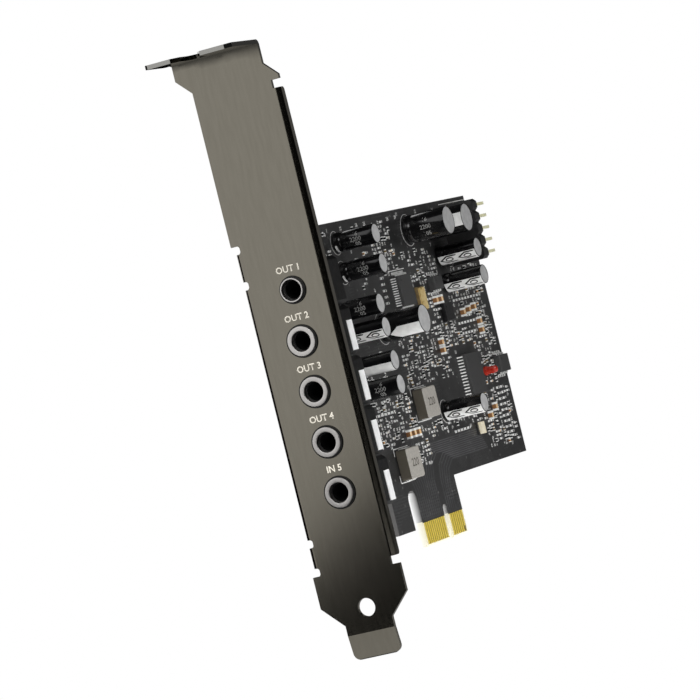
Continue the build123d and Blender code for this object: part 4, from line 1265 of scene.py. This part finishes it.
ahead = Vector((
    math.cos(ELEVATION) * math.cos(AZIMUTH), math.cos(ELEVATION) * math.sin(AZIMUTH), math.sin(ELEVATION),
))
level_right = Vector((math.sin(AZIMUTH), -math.cos(AZIMUTH), 0))
level_up = level_right.cross(ahead)
right = math.cos(ROLL) * level_right + math.sin(ROLL) * level_up
up = right.cross(ahead)
deselect()
bpy.ops.object.camera_add()
camera = bpy.context.object
camera.name = "photo_camera"
camera.data.sensor_width = 36
camera.data.lens = FOCAL_PIXELS / PICTURE * camera.data.sensor_width
camera.data.clip_start = 0.01
turn = Matrix((right, up, -ahead)).transposed().to_4x4()
camera.matrix_world = Matrix.Translation(TARGET - ahead * CAMERA_AWAY) @ turn
bpy.context.scene.camera = camera
print("lens", round(camera.data.lens, 2), "mm, camera at", [round(v, 4) for v in camera.location])


# %% [markdown]
# ## Soft boxes
# The plate's long fade needs a box that it mirrors. Seen from the camera, the plate
# mirrors what stands in front of it to the left, so a large box leans there, and its
# lower edge is set where the plate's fade begins. Four more boxes stand round the board.
# A box on the floor, which no surface mirrors, lights the card from below like a sheet
# of white paper, and a very small one lights the tongue.

# %% Light the card
def soft_box(name, middle, aim, width, height, watts):
    deselect()
    bpy.ops.object.light_add(type="AREA", location=middle)
    light = bpy.context.object
    light.name = name
    light.data.shape = "RECTANGLE"
    light.data.size, light.data.size_y = width, height
    light.data.energy = watts
    light.rotation_euler = (Vector(aim) - Vector(middle)).to_track_quat("-Z", "Y").to_euler()
    light.visible_camera = False
    return light


PLATE_BOX_AWAY, PLATE_BOX_SIDEWAYS = 0.25, Vector((0, 0.03, 0))
PLATE_BOX_LOW, PLATE_BOX_TALL = -0.121, 0.4
PLATE_BOX_ROLL = math.radians(35.0)
bracket_low, bracket_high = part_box("bracket")
plate_middle = Vector((0, (bracket_low.y + bracket_high.y) / 2, -0.054))
mirrored = Vector((-ahead.x, ahead.y, 0)).normalized()
plate_box = plate_middle + mirrored * PLATE_BOX_AWAY + PLATE_BOX_SIDEWAYS
plate_box.z = PLATE_BOX_LOW + PLATE_BOX_TALL / 2 / math.cos(PLATE_BOX_ROLL)
aim = Vector((plate_middle.x, plate_middle.y, plate_box.z))
box = soft_box("plate_box", plate_box, aim, 0.4, PLATE_BOX_TALL, 0.51)
box.rotation_euler.rotate_axis("Z", PLATE_BOX_ROLL)
print("plate box at", [round(v, 3) for v in plate_box])

# %% Light the board, the underside and the tongue
# Each box as (name, from the board's middle, side in metres, watts)
BOARD_BOXES = (
    ("board_box", (-0.25, -0.5, 0.5), 0.4, 1.4), ("front_box", (-0.6, -0.25, 0.45), 0.3, 0.9),
    ("end_box", (0.5, -0.24, 0.0), 0.3, 0.06), ("back_box", (0.35, 0.6, 0.3), 0.6, 1.6),
)
board_middle = (board_low + board_high) / 2
for name, away, side, watts in BOARD_BOXES:
    soft_box(name, board_middle + Vector(away), board_middle, side, side, watts)
UPWARD = Vector((0, 0, 1))
paper_middle = Vector((-0.05, -0.07, floor.location.z + 0.001))
paper_box = soft_box("paper_box", paper_middle, paper_middle + UPWARD, 0.3, 0.2, 0.36)
paper_box.visible_glossy = False
foot_middle = Vector((-0.013, -0.001, floor.location.z + 0.0004))
soft_box("foot_box", foot_middle, foot_middle + UPWARD, 0.026, 0.026, 0.0016)

# %% Print the sizes
print("solid from", tuple(solid_low), "to", tuple(solid_high))
